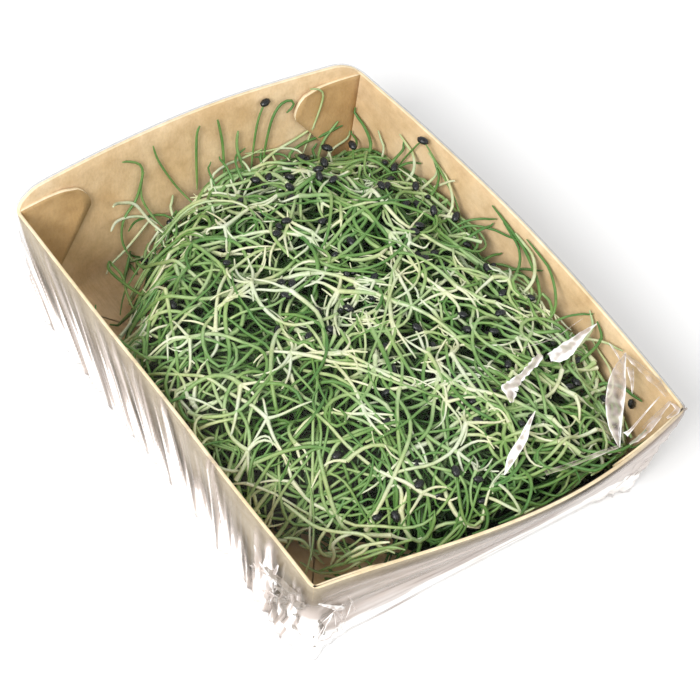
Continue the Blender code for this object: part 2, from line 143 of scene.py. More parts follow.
def at_station(stop, value):
    """What value(wall, along) gives at a station, with a smooth turn from wall to wall round a corner."""
    wall, along, turn = stop
    if turn is None:
        return value(wall, along)
    after = WALLS[(WALLS.index(wall) + 1) % 4]
    start = value(wall, 1.0 - CORNER_ROUND / LENGTHS[wall])
    end = value(after, CORNER_ROUND / LENGTHS[after])
    return start * (1 - turn) ** 2 + value(wall, 1.0) * 2 * turn * (1 - turn) + end * turn ** 2


def station_rim(stop):
    """The rim's height at a station."""
    return at_station(stop, rim_height)


def station_point(stop, height):
    """A station's place on the walls' outer face, at a height over the floor's underside."""
    return at_station(stop, lambda wall, along: wall_point(wall, along, height / WALL_HEIGHT))


def outward(ring):
    """The level direction out of the tray at each point of a ring."""
    out = []
    for index in range(len(ring)):
        run = ring[(index + 1) % len(ring)] - ring[index - 1]
        out.append(Vector((run.y, -run.x)).normalized())
    return out


def way_out(wall, along, up):
    """The level direction out of the tray at a place on a wall."""
    return outward([wall_point(wall, clamp(along + step), up) for step in (-0.02, 0.0, 0.02)])[1]


def swell(x, y, z):
    """The board isn't quite flat: how far it stands out or in at a place."""
    return SWELL * noise.noise(Vector((x, y, z * 0.5)) / SWELL_SIZE)


def ring_at(stops, heights, out, extra=None):
    """Points round the tray at given heights, moved out of the outer face by a distance."""
    flat = [station_point(stop, height) for stop, height in zip(stops, heights)]
    ring = []
    for index, (point, way) in enumerate(zip(flat, outward(flat))):
        more = extra[index] if extra else 0.0
        moved = point + way * (out + more + swell(point.x, point.y, heights[index]))
        ring.append(Vector((moved.x, moved.y, UNDERSIDE + heights[index])))
    return ring


# %% [markdown]
# ## Putting a mesh in the scene
#
# All of the hand-made pieces go through one helper. It moves the points to the object's origin,
# gives each face its finish and shades it smooth. The object itself stays unturned at the
# origin, so patterns that read its coordinates stay where they are. Most pieces are stacks of
# rings or sheets of rows, so two more helpers give the faces of those.

# %% Helpers for finished meshes
def in_scene(name, data):
    """An object of this data, in the scene."""
    made = bpy.data.objects.new(name, data)
    bpy.context.scene.collection.objects.link(made)
    return made


def put(name, points, faces, finishes, finish_of=None, smooth=True):
    """A mesh object from points and faces; finish_of gives each face's place in finishes."""
    mesh = bpy.data.meshes.new(name)
    mesh.from_pydata([tuple(Vector(point) + TO_ORIGIN) for point in points], [], faces)
    for finish in finishes:
        mesh.materials.append(finish)
    if finish_of is not None:
        mesh.polygons.foreach_set("material_index", finish_of)
    mesh.polygons.foreach_set("use_smooth", [smooth] * len(mesh.polygons))
    mesh.update()
    return in_scene(name, mesh)


def face_out(made):
    """Turn a closed mesh's faces outward."""
    shape = bmesh.new()
    shape.from_mesh(made.data)
    bmesh.ops.recalc_face_normals(shape, faces=shape.faces)
    if shape.calc_volume(signed=True) < 0.0:
        bmesh.ops.reverse_faces(shape, faces=shape.faces)
    shape.to_mesh(made.data)
    shape.free()
    return made


def stack(rings, foot=True):
    """Points and faces of rings joined one to the next. The last ring is closed, and so is a foot."""
    count = len(rings[0])
    points = [point for ring in rings for point in ring]
    faces = [tuple(reversed(range(count)))] if foot else []
    for low in range(0, len(points) - count, count):
        high = low + count
        for index in range(count):
            after = (index + 1) % count
            faces.append((low + index, low + after, high + after, high + index))
    faces.append(tuple(range(len(points) - count, len(points))))
    return points, faces


def grid(rows, columns, first=0):
    """Faces of a sheet whose points lie in rows."""
    across = columns + 1
    corners = [first + row * across + column for row in range(rows) for column in range(columns)]
    return [(here, here + 1, here + across + 1, here + across) for here in corners]


# %% [markdown]
# ## Colours
#
# Colours are easier to judge as the six-figure codes that a picture shows. Blender's shaders
# work in linear light, so a helper turns one into the other. Every finish here is built from a
# few layers of noise over one colour, so a small class holds a material's nodes and adds the
# layers: noise of one size, a ramp of colours, a tint on top, and relief.

# %% Helpers for finishes
WHITE = (1.0, 1.0, 1.0)


def tint(colour):
    """A linear colour with its alpha, from a six-figure code or from linear red, green and blue."""
    if not isinstance(colour, str):
        return (*colour, 1.0)
    parts = [int(colour[place:place + 2], 16) / 255.0 for place in (0, 2, 4)]
    return (*[part / 12.92 if part <= 0.04045 else ((part + 0.055) / 1.055) ** 2.4 for part in parts], 1.0)


class Finish:
    """A material, its Principled shader and its Object coordinates."""

    def __init__(self, name):
        self.made = bpy.data.materials.new(name)
        self.made.use_nodes = True
        self.tree = self.made.node_tree
        self.shader = self.tree.nodes["Principled BSDF"]
        self.place = self.add("TexCoord").outputs["Object"]

    def add(self, kind, **values):
        """A node, with values for its sockets."""
        node = self.tree.nodes.new("ShaderNode" + kind)
        for label, value in values.items():
            self.feed(node.inputs[label], value)
        return node

    def feed(self, socket, value):
        """Link a socket to another, or set it."""
        if isinstance(value, bpy.types.NodeSocket):
            self.tree.links.new(value, socket)
        else:
            socket.default_value = value

    def number(self, name):
        """A number that the mesh's points carry."""
        attribute = self.add("Attribute")
        attribute.attribute_name = name
        return attribute.outputs["Fac"]

    def maths(self, kind, first, second):
        """One number worked out of two, held between 0 and 1."""
        node = self.add("Math")
        node.operation = kind
        node.use_clamp = True
        self.feed(node.inputs[0], first)
        self.feed(node.inputs[1], second)
        return node.outputs[0]

    def noise(self, size, stretch=WHITE, detail=3.0, roughness=0.5):
        """Noise whose features are about size metres across, drawn out along an axis by stretch."""
        scale = [1.0 / (size * part) for part in stretch]
        mapping = self.add("Mapping", Vector=self.place, Scale=scale)
        texture = self.add("TexNoise", Scale=1.0, Detail=detail, Roughness=roughness)
        self.feed(texture.inputs["Vector"], mapping.outputs["Vector"])
        return texture.outputs["Fac"]

    def ramp(self, source, *stops):
        """A colour ramp through (place, colour) stops."""
        node = self.add("ValToRGB", Fac=source)
        elements = node.color_ramp.elements
        while len(elements) < len(stops):
            elements.new(0.5)
        for element, (place, colour) in zip(elements, stops):
            element.position = place
            element.color = tint(colour)
        return node.outputs["Color"]

    def tinted(self, colour, amount, source, *stops):
        """A colour multiplied by a ramp, by an amount."""
        mix = self.add("Mix")
        mix.data_type = "RGBA"
        mix.blend_type = "MULTIPLY"
        self.feed(mix.inputs["Factor"], amount)
        self.feed(mix.inputs[6], colour)
        self.feed(mix.inputs[7], self.ramp(source, *stops))
        return mix.outputs[2]

    def mixed(self, amount, first, second):
        """A node that mixes two shaders."""
        node = self.add("MixShader", Fac=amount)
        self.feed(node.inputs[1], first.outputs[0])
        self.feed(node.inputs[2], second.outputs[0])
        return node

    def relief(self, heights, depth, shader):
        """Small relief: heights from 0 to 1 stand for up to depth metres."""
        bump = self.add("Bump", Distance=depth, Height=heights)
        self.feed(shader.inputs["Normal"], bump.outputs["Normal"])

    def skin(self, colour, rough, gloss=0.5, heights=None, depth=0.0):
        """Set the shader and return the material."""
        self.feed(self.shader.inputs["Base Color"], colour)
        self.shader.inputs["Roughness"].default_value = rough
        self.shader.inputs["Specular IOR Level"].default_value = gloss
        if heights is not None:
            self.relief(heights, depth, self.shader)
        return self.made


# %% [markdown]
# ## Kraft board
#
# Kraft is unbleached wood pulp, pressed flat. From near it has short fibres in every direction,
# paler and darker specks, and wide, faint clouds where the pulp was thicker. Where the sheet is
# cut, the core shows almost cream. The finish is therefore four sizes of noise over one brown:
# clouds, soft mottles, fine specks, and faint fibres drawn out along the grain. The fibres also
# give the relief.

# %% Finishes of the board
def kraft(name, dark, middle, light, rough):
    """Brown board with clouds, fibres and specks."""
    finish = Finish(name)
    clouds = finish.noise(0.022, roughness=0.55)
    mottles = finish.noise(0.0038, detail=4.0, roughness=0.65)
    fibres = finish.noise(0.0007, stretch=(7.0, 1.0, 1.4), detail=2.0)
    specks = finish.noise(0.0004, detail=2.0, roughness=0.7)
    brown = finish.ramp(clouds, (0.30, dark), (0.52, middle), (0.74, light))
    patches = (0.30, (0.80, 0.76, 0.70)), (0.60, WHITE), (0.8, (1.10, 1.09, 1.06))
    threads = (0.30, (0.62, 0.56, 0.50)), (0.55, WHITE), (0.8, (1.25, 1.22, 1.15))
    brown = finish.tinted(brown, 0.75, mottles, *patches)
    brown = finish.tinted(brown, 0.16, fibres, *threads)
    brown = finish.tinted(brown, 0.25, specks, (0.28, (0.70, 0.62, 0.55)), (0.45, WHITE))
    return finish.skin(brown, rough, 0.25, fibres, 0.00008)


inside_board = kraft("kraft inside", "D0AF81", "E0C39A", "EDD6B3", 0.72)
# The flaps are a darker brown than the walls: painted shade of the corners they sit in.
shaded_flap_board = kraft("kraft of the flaps in painted shade", "AE8B5B", "C09D6C", "CFAE7F", 0.72)
outside_board = kraft("kraft outside", "9C8F78", "AC9F89", "B8AC98", 0.55)
cut_edge = kraft("kraft cut edge", "E6CFA4", "F1DFBC", "F8EBCF", 0.65)
print("board finishes:", inside_board.name, outside_board.name, cut_edge.name)

# %% [markdown]
# ## The tray
#
# The board is a stack of rings: up the outside of the walls, over the rim and down the inside
# to the floor. Where the real board is folded, the rings run through a small round, and the rim
# has two tiny chamfers that catch the light as a cut edge does. The tray is one closed skin of
# the board's real thickness, so it looks right from below as well.

# %% Fold the tray
TRAY_COUNTS = {"left": 60, "front": 48, "right": 60, "back": 54}
WALL_ROWS = 10
RIM_CHAMFER = 0.00014
FOLD_ROUND = 0.0012
FLOOR_SHARES = (0.92, 0.7, 0.4)
INSIDE, OUTSIDE, CUT = 0, 1, 2


def tray_rings(stops):
    """The board's rings from its underside, over the rim, to its floor, and each band's finish."""
    rims = [station_rim(stop) for stop in stops]
    chamfered = [rim - RIM_CHAMFER for rim in rims]
    rows = [[rim * row / WALL_ROWS for rim in rims] for row in range(1, WALL_ROWS)]
    count = len(stops)
    steps = [([0.0] * count, -FOLD_ROUND), ([0.0002] * count, -0.0004)]
    steps += [(row, 0.0) for row in rows + [chamfered]]
    steps += [(rims, -RIM_CHAMFER), (rims, RIM_CHAMFER - BOARD), (chamfered, -BOARD)]
    steps += [(row, -BOARD) for row in reversed(rows)]
    steps += [([BOARD + 0.0004] * count, -BOARD - 0.0003), ([BOARD] * count, -BOARD - FOLD_ROUND)]
    finishes = [OUTSIDE] * (WALL_ROWS + 1) + [CUT] * 3 + [INSIDE] * (WALL_ROWS + 1)
    return [ring_at(stops, heights, out) for heights, out in steps], finishes


def fold_tray():
    stops = stations(TRAY_COUNTS)
    rings, finishes = tray_rings(stops)
    for share in FLOOR_SHARES:
        rings.append([Vector((p.x * share, p.y * share, FLOOR_TOP)) for p in rings[-1]])
        finishes.append(INSIDE)
    finish_of = [OUTSIDE] + [finish for finish in finishes for _ in stops] + [INSIDE]
    return face_out(put("tray_board", *stack(rings), [inside_board, outside_board, cut_edge], finish_of))


tray_board = fold_tray()
print("tray_board:", len(tray_board.data.polygons), "faces")

# %% [markdown]
# ## Corner flaps
#
# The tray is glued, not sewn: each long wall carries a flap at either end, which is folded
# round the corner and stuck to the inside of the short wall. It is narrow at the foot, widest
# near the rim, and its upper end is round. A flap is a thin sheet that follows the short wall.
# At the back its free edge is a hair's breadth off the wall, so a fine shadow draws it.

# %% Glue in the corner flaps
FLAP_FOOT, FLAP_WIDEST, FLAP_ROUND = 0.0075, 0.0196, 0.0062
FLAP_UPRIGHT, FLAP_WIDEST_HEIGHT, FLAP_TOP = 0.0120, 0.0265, 0.0338
FLAP_BUILD = {"back": (0.00080, 0.00090), "front": (0.00040, 0.00010)}
FLAP_ROWS, FLAP_COLUMNS = 26, 8
FLAP_START = BOARD * 0.6


def flap_width(height):
    """How far a flap reaches from the corner at a height over the floor's underside."""
    if height <= FLAP_WIDEST_HEIGHT:
        grown = clamp((height - FLAP_UPRIGHT) / (FLAP_WIDEST_HEIGHT - FLAP_UPRIGHT))
        return FLAP_FOOT + (FLAP_WIDEST - FLAP_FOOT) * grown
    over = (height - FLAP_WIDEST_HEIGHT) / (FLAP_TOP - FLAP_WIDEST_HEIGHT)
    return FLAP_WIDEST - FLAP_ROUND * (1.0 - math.sqrt(max(0.0, 1.0 - over * over)))


def flap_points(wall, from_start, depth):
    """One face of a flap: rows up the wall, each from the corner outwards."""
    inward = 1.0 if wall == "back" else -1.0
    points = []
    for row in range(FLAP_ROWS + 1):
        height = FLAP_START + (FLAP_TOP - FLAP_START) * row / FLAP_ROWS
        for column in range(FLAP_COLUMNS + 1):
            share = column / FLAP_COLUMNS
            reach = FLAP_START + (flap_width(height) - FLAP_START) * share
            along = reach / LENGTHS["back"] if from_start else 1.0 - reach / LENGTHS["back"]
            place = wall_point(wall, along, height / WALL_HEIGHT)
            off = depth + FLAP_BUILD[wall][1] * share ** 4
            points.append(Vector((place.x + inward * off, place.y, UNDERSIDE + height)))
    return points


def corner_flap(wall, from_start):
    """A thin closed sheet: two faces, and a cut edge round them."""
    points = flap_points(wall, from_start, BOARD - 0.0002)
    sheet = len(points)
    points += flap_points(wall, from_start, BOARD + FLAP_BUILD[wall][0])
    faces = []
    for patch in grid(FLAP_ROWS, FLAP_COLUMNS):
        faces += [patch, tuple(sheet + index for index in reversed(patch))]
    finish_of = [0] * len(faces)
    across = FLAP_COLUMNS + 1
    rim = list(range(across)) + [row * across + FLAP_COLUMNS for row in range(1, FLAP_ROWS + 1)]
    rim += [FLAP_ROWS * across + column for column in range(FLAP_COLUMNS - 1, -1, -1)]
    rim += [row * across for row in range(FLAP_ROWS - 1, 0, -1)]
    for here, after in zip(rim, rim[1:] + rim[:1]):
        faces.append((here, here + sheet, after + sheet, after))
        finish_of.append(1)
    name = f"flap_{wall}_{'first' if from_start else 'last'}"
    return face_out(put(name, points, faces, [shaded_flap_board, cut_edge], finish_of))


flaps = [corner_flap(wall, from_start) for wall in ("back", "front") for from_start in (True, False)]
print("flaps:", [flap.name for flap in flaps])

# %% [markdown]
# ## How high the heap stands
#
# The sprouts nearly touch the film in the middle and fall away to every wall, most of all
# towards the back left and front left corners, where the floor shows. The same rule that shaped
# the solid gives that height here. The sprouts are then laid between a dark packed core a few
# millimetres below it and a goal a few millimetres above it.

# %% Heap rule
HEAP_TOP, HEAP_THINNEST = 0.0288, 0.0018
HEAP_BUMP, HEAP_BUMP_SIZE = 0.0022, 0.016
SLOPE_REACH, SIDE_SLOPE_REACH = 0.042, 0.034
BACK_SLOPE_START, FRONT_SLOPE_START, SIDE_SLOPE_START = 0.026, 0.030, 0.020
BACK_FALL, FRONT_FALL, RIGHT_FALL, LEFT_FALL = 0.0135, 0.0050, 0.0060, 0.0085
BACK_RIGHT_FALL, BACK_RIGHT_REACH = 0.0060, 0.040
HOLLOWS = (((0.070, 0.056), 0.0130, 0.030), ((-0.004, 0.056), 0.0050, 0.016))
BARE_BACK_CORNER, BARE_FRONT_CORNER, BARE_FALL_REACH = 0.0790, 0.0800, 0.024
FILM_CROWN = 0.0365
CORE_BELOW = 0.0060
GOAL_ABOVE, GOAL_LESS_AT_BACK = 0.0040, 0.0026
CREST_ABOVE = 0.0016
HILLS, HILL_SIZE = 0.0030, 0.0085


def slope(distance, reach, power):
    return clamp(distance / reach) ** power


def bare_corners(x, y):
    """For each bare corner, how far out it starts and how far out a place is."""
    return (BARE_BACK_CORNER, -(x + y)), (BARE_FRONT_CORNER, x - y)


def heap_height(x, y):
    """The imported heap's top over the ground at a place on the floor."""
    towards_back = slope(-x - BACK_SLOPE_START, SLOPE_REACH, 1.5)
    height = HEAP_TOP - BACK_FALL * towards_back
    height -= BACK_RIGHT_FALL * towards_back * clamp(y / BACK_RIGHT_REACH)
    height -= FRONT_FALL * slope(x - FRONT_SLOPE_START, SLOPE_REACH, 1.5)
    side = slope(abs(y) - SIDE_SLOPE_START, SIDE_SLOPE_REACH, 1.5)
    height -= (RIGHT_FALL if y > 0.0 else LEFT_FALL) * side
    for (hollow_x, hollow_y), depth, radius in HOLLOWS:
        height -= depth * clamp(1.0 - math.hypot(x - hollow_x, y - hollow_y) / radius)
    for bare, nearness in bare_corners(x, y):
        fall = slope(nearness - bare + BARE_FALL_REACH, BARE_FALL_REACH, 1.6)
        height -= (height - FLOOR_TOP - HEAP_THINNEST) * fall
    bump = noise.noise(Vector((x, y, 0.3)) / HEAP_BUMP_SIZE)
    return max(FLOOR_TOP + HEAP_THINNEST, height + HEAP_BUMP * bump)


def film_height(x):
    """The taut film's height: flat over the heap, rising to the high back rim."""
    back = UNDERSIDE + WALL_HEIGHT + BACK_RISE + 0.0002
    return FILM_CROWN + (back - FILM_CROWN) * clamp(x / FLOOR_BACK) ** 2


def goal_height(x, y):
    """How high the sprouts are laid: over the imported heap, in hills and dips, lower by the back wall."""
    hill = HILLS * noise.noise(Vector((x, y, 8.0)) / HILL_SIZE)
    less = GOAL_LESS_AT_BACK * slope(-x - BACK_SLOPE_START, SLOPE_REACH, 1.0)
    return heap_height(x, y) + GOAL_ABOVE + hill - less


print("heap in the middle, in mm:", round(heap_height(0, 0) / MM, 1))
print("film there, in mm:", round(film_height(0) / MM, 1))

# %% [markdown]
# ## A map of the heap
#
# Sprouts fall on sprouts, so each one needs to know how high the pile is where it lands. A
# grid of half-millimetre cells holds that height. Laying a stem reads the map under the stem,
# and then raises the map where the stem now lies. It is far quicker than a simulation of a
# thousand soft stems, and gives the same tangle of arches and gaps.

# %% Map of the pile
CELL = 0.0005
MAP_LOW = np.array([-0.0765, -0.0620])
MAP_CELLS = (316, 250)
WALL_CLEAR = 0.0020
BARE_PULL = 0.85


def walls_inside(x, y, z, clear=WALL_CLEAR):
    """Arrays of x and y, moved to where they clear the walls' inner faces at height z."""
    up = np.clip((z - UNDERSIDE) / WALL_HEIGHT, 0.0, 1.1)
    rise = up ** BOW_POWER
    over_y = np.clip((y - FLOOR_LEFT) / LENGTHS["front"], 0.0, 1.0)
    over_x = np.clip((FLOOR_FRONT - x) / LENGTHS["left"], 0.0, 1.0)
    back = FLOOR_BACK - LEAN_BACK * up - BOW_BACK * rise * np.sin(np.pi * over_y)
    front = FLOOR_FRONT + (LEAN_FRONT + CORNER_C_LEAN * over_y) * up
    front = front + BOW_FRONT * rise * np.sin(np.pi * over_y ** FRONT_BOW_SKEW)
    left = FLOOR_LEFT - LEAN_LEFT * up
    right = FLOOR_RIGHT + (LEAN_RIGHT + CORNER_C_LEAN * (1.0 - over_x)) * up
    right = right + BOW_RIGHT * rise * np.sin(np.pi * over_x)
    return np.clip(x, back + clear, front - clear), np.clip(y, left + clear, right - clear)


def corners_bare(x, y, more):
    """Arrays of x and y, drawn back out of the two corners where the floor shows."""
    over = np.clip(-(x + y) - BARE_BACK_CORNER - more, 0.0, None) * BARE_PULL
    x, y = x + over / 2.0, y + over / 2.0
    over = np.clip(x - y - BARE_FRONT_CORNER - more, 0.0, None) * BARE_PULL
    return x - over / 2.0, y + over / 2.0


def map_pile():
    """For every cell: the core's height, the height to fill up to, and the highest a stem may lie."""
    cells_x, cells_y = np.meshgrid(*[MAP_LOW[axis] + CELL * np.arange(MAP_CELLS[axis]) for axis in (0, 1)],
                                   indexing="ij")
    core, crest = [np.vectorize(rule, otypes=[float])(cells_x, cells_y)
                   for rule in (heap_height, goal_height)]
    near_x, near_y = walls_inside(cells_x, cells_y, core)
    inside = (np.abs(near_x - cells_x) < CELL) & (np.abs(near_y - cells_y) < CELL)
    bare = (-(cells_x + cells_y) > BARE_BACK_CORNER) | (cells_x - cells_y > BARE_FRONT_CORNER)
    goal = np.where(inside & ~bare, crest, 0.0)
    return np.maximum(core - CORE_BELOW, FLOOR_TOP), goal, crest + CREST_ABOVE


pile, goal, crest = map_pile()
print("cells to fill:", int((goal > pile).sum()))
print("mean depth in mm:", round(float((goal - pile)[goal > pile].mean()) / MM, 2))


def cells_of(x, y):
    i = np.clip(((x - MAP_LOW[0]) / CELL + 0.5).astype(int), 1, MAP_CELLS[0] - 2)
    j = np.clip(((y - MAP_LOW[1]) / CELL + 0.5).astype(int), 1, MAP_CELLS[1] - 2)
    return i, j


def pile_under(x, y):
    """The pile's height under each point of a path, over the width of a stem."""
    i, j = cells_of(x, y)
    return np.maximum.reduce([pile[i, j], pile[i + 1, j], pile[i - 1, j], pile[i, j + 1], pile[i, j - 1]])


def raise_pile(x, y, top):
    """Raise the map under a path to the given heights."""
    i, j = cells_of(x, y)
    for di, dj in ((0, 0), (1, 0), (-1, 0), (0, 1), (0, -1)):
        np.maximum.at(pile, (i + di, j + dj), top)


# %% [markdown]
# ## Laying one stem
#
# A stem is springy: it drapes over what it lies on in wide arches, and doesn't follow every
# dip. So its height is found from a rule of least bend. Every point under it holds up an arch
# of a set curvature, and the stem lies along the highest of these, pressed in a little. Its
# ends may then dive between the others or lift free of them, and some stems arch up in the
# middle. Seen from above, a stem is a level curve whose heading changes slowly, with a little
# waver, and often a hook at its end. All chances come from one seeded generator.

# %% Lay one stem
STEP = 0.001
ARCH_RADIUS = 0.008
SINK = (0.0001, 0.0015)
END_SHARE = 0.3
FULL_TURN = 6.28
WAVES = ((0.011, 1.0, 1), (0.0047, 0.6, 2))
HOOK_START, HOOK_REACH = 0.22, 0.28
UNDER_FILM, OVER_FLOOR = 0.0012, 0.0002
draw = random.Random(23)


def level_path(x, y, heading, length, curl, waver, hook=0.0):
    """A level curve about its middle point, in steps of STEP."""
    steps = max(5, int(length / STEP))
    share = np.linspace(-0.5, 0.5, steps + 1)
    phase = draw.uniform(0.0, FULL_TURN)
    turn = heading + curl * share + draw.uniform(-0.5, 0.5) * curl * share ** 2
    for size, part, beat in WAVES:
        turn = turn + waver * part * np.sin(share * length / size + beat * phase)
    turn = turn + hook * np.clip((share - HOOK_START) / HOOK_REACH, 0.0, 1.0) ** 1.5
    run = np.stack([np.cos(turn), np.sin(turn)], axis=1) * (length / steps)
    path = np.cumsum(run, axis=0)
    path = path - path[steps // 2]
    return x + path[:, 0], y + path[:, 1]


def path_from(x, y, *rules):
    """A level curve that starts at a place."""
    path_x, path_y = level_path(0.0, 0.0, *rules)
    return x + path_x - path_x[0], y + path_y - path_y[0]


def smoothed(values, times):
    for _ in range(times):
        middle = (values[:-2] + 2.0 * values[1:-1] + values[2:]) / 4.0
        values = np.concatenate([values[:1], middle, values[-1:]])
    return values


def draped(x, y, radius, ends, sink, hump=0.0):
    """Heights for a stem over the pile. ends is how far its two ends lift, or dive if below nought."""
    ground = pile_under(x, y) + radius - sink
    distance = np.arange(len(x)) * STEP
    arch = ground[None, :] - (distance[:, None] - distance[None, :]) ** 2 / (2.0 * ARCH_RADIUS)
    z = smoothed(np.minimum(smoothed(arch.max(axis=1), 5), crest[cells_of(x, y)]), 4)
    share = np.linspace(0.0, 1.0, len(x))
    first = np.clip((END_SHARE - share) / END_SHARE, 0.0, 1.0) ** 2
    last = np.clip((share - 1.0 + END_SHARE) / END_SHARE, 0.0, 1.0) ** 2
    return z + ends[0] * first + ends[1] * last + hump * np.sin(math.pi * share) ** 2


def held_in(x, y, z, radius, clear=WALL_CLEAR, more=0.0):
    """A path kept clear of the walls, the floor and the film, and smoothed where it was moved."""
    for times in (8, 3):
        x, y = walls_inside(x, y, z, clear)
        x, y = corners_bare(x, y, more)
        x, y = smoothed(x, times), smoothed(y, times)
    x, y = walls_inside(x, y, z)
    roof = np.array([film_height(value) for value in x]) - UNDER_FILM - radius
    return x, y, np.clip(z, FLOOR_TOP + radius + OVER_FLOOR, roof)


print("a stem's arch has a radius of", ARCH_RADIUS / MM, "mm")

# %% [markdown]
# ## Filling the tray
#
# Each new stem goes where the pile is still furthest from its goal, so the heap fills evenly
# and ends at the right height. Neighbouring stems share a heading that turns slowly from place
# to place, as they do in a handful pulled from a mat. A stem is cream at the root, then pale,
# then green towards its tip. Many roots end in a thick crown that forks.

# %% Lists and small rules
STEM_TRIES = 1750
CARPET_STEMS = 900
LOCK_SIZE, LOCK_SPREAD = 0.026, 0.9
TAPER_MARKS = [0.0, 0.06, 0.3, 0.85, 1.0]
PLAIN_TAPER = [0.55, 0.85, 1.0, 0.85, 0.45]
CROWN_TAPER = [1.35, 1.12, 1.0, 0.85, 0.45]
ROOT_TAPER = [1.30, 1.05, 0.85, 0.62, 0.38]
stems, roots, seeds = [], [], []


def lock_heading(x, y):
    """The way that neighbouring stems run."""
    return 7.0 * noise.noise(Vector((x, y, 0.7)) / LOCK_SIZE) + 0.9


def keep_stem(into, x, y, z, radius, greens, taper=PLAIN_TAPER, pieces=None):
    """Add a stem to a list: a few points along it with their thickness and green numbers."""
    points = np.stack([x, y, z], axis=1)
    run = np.concatenate([[0.0], np.cumsum(np.linalg.norm(np.diff(points, axis=0), axis=1))])
    count = pieces or int(clamp(run[-1] / 0.0024, 7, 25))
    marks = np.linspace(0.0, run[-1], count + 1)
    share = marks / run[-1]
    places = np.stack([np.interp(marks, run, points[:, axis]) for axis in range(3)], axis=1)
    thick = radius * np.interp(share, TAPER_MARKS, taper)
    into.append((places, thick, np.interp(share, np.linspace(0.0, 1.0, len(greens)), greens)))


def neediest_cell(tries):
    """Of a few random cells, the one where the pile is furthest from its goal."""
    best = None
    for _ in range(tries):
        i, j = draw.randrange(1, MAP_CELLS[0] - 1), draw.randrange(1, MAP_CELLS[1] - 1)
        room = goal[i, j] - pile[i, j]
        if best is None or room > best[0]:
            best = (room, i, j)
    room, i, j = best
    return MAP_LOW[0] + i * CELL, MAP_LOW[1] + j * CELL, room


def heap_paleness_and_painted_light(x, y):
    """Stems are paler towards the front and the left wall: partly their own tone, partly painted light that
    lifts the left wall's shade.
    """
    pale = 0.50 + 0.06 * clamp((x - 0.012) / 0.045) + 0.14 * clamp((-y - 0.012) / 0.030)
    return pale + 0.5 * noise.noise(Vector((x, y, 4.0)) / 0.017)


def stem_greens(x, y, rank):
    """A stem's colour numbers from root to tip: 0 is cream and 1 is full green."""
    pale = clamp(heap_paleness_and_painted_light(x, y) + draw.gauss(0.0, 0.26) + 0.25 * (rank - 0.5))
    return [0.50 - 0.55 * pale, 0.78 - 0.62 * pale, 0.95 - 0.45 * pale, 1.02 - 0.25 * pale]


# %% [markdown]
# Two helpers lay what the rules above decide. The first drapes a stem and drops it where a wall
# would bend more than a quarter of it, because such stems would stack up like a fence. Every
# stem keeps its own small distance from the walls, which leaves the heap's edge ragged. The
# second sets a few tapering roots on a crown.

# %% Lay stems and roots
MOVED, MOVED_MOST = 0.0012, 0.28
OFF_WALL_SPREAD, OFF_CORNER, OFF_CORNER_SPREAD = 0.0022, -0.0010, 0.0042
USUAL_LEVEL = 0.020
ROOT_LENGTH, ROOT_LIFT, ROOT_SIZE = (0.006, 0.015), (-0.0015, 0.0025), (0.85, 1.1)
ROOT_WAY_SPREAD, ROOT_CURL, ROOT_WAVER = 0.25, 1.6, 0.2
ROOT_HOOKS = (0.0, 0.0, 1.6, -1.6)
ROOT_GREENS = [0.06, 0.0, 0.02]


def share_moved(x, y, moved_x, moved_y):
    """The share of a path that the walls move by more than a stem's width."""
    return np.mean(np.hypot(moved_x - x, moved_y - y) > MOVED)


def lay(into, x, y, radius, ends, greens, taper=PLAIN_TAPER, hump=0.0, joint=None, pieces=None):
    """Drape a stem over the pile, keep it, and raise the pile under it. None if a wall is in its way."""
    clear = WALL_CLEAR + abs(draw.gauss(0.0, OFF_WALL_SPREAD))
    more = draw.gauss(OFF_CORNER, OFF_CORNER_SPREAD)
    wall_x, wall_y, _ = held_in(x, y, np.full(len(x), USUAL_LEVEL), radius, clear, more)
    if share_moved(x, y, wall_x, wall_y) > MOVED_MOST:
        return None
    z = draped(wall_x, wall_y, radius, ends, draw.uniform(*SINK), hump)
    if joint is not None:
        z = z + (joint - z[0]) * np.linspace(1.0, 0.0, len(z)) ** 2
    laid = held_in(wall_x, wall_y, z, radius, clear, more)
    keep_stem(into, *laid, radius, greens, taper, pieces)
    fine = np.linspace(0, len(x) - 1, 2 * len(x))
    x, y, z = [np.interp(fine, np.arange(len(line)), line) for line in laid]
    raise_pile(x, y, z + 0.6 * radius)
    return laid


def fork_roots(stem, heading, count, thick, spread=0.85):
    """Short cream roots that fan out from a stem's root end."""
    x, y, z = [line[0] for line in stem]
    for index in range(count):
        way = heading + spread * (index - (count - 1) / 2.0) + draw.gauss(0.0, ROOT_WAY_SPREAD)
        length = draw.uniform(*ROOT_LENGTH)
        curl = draw.gauss(0.0, ROOT_CURL)
        path = path_from(x, y, way, length, curl, ROOT_WAVER, draw.choice(ROOT_HOOKS))
        lift = (0.0, draw.uniform(*ROOT_LIFT))
        radius = thick * draw.uniform(*ROOT_SIZE)
        lay(roots, *path, radius, lift, ROOT_GREENS, ROOT_TAPER, joint=z, pieces=8)


# %% [markdown]
# Thin stems go down first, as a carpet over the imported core, and then the heap itself. Late
# stems look longer for a low place than early ones. Some stems curl hard, some end in a hook,
# more than half of the ends dive in, and a few stems arch up in the middle.

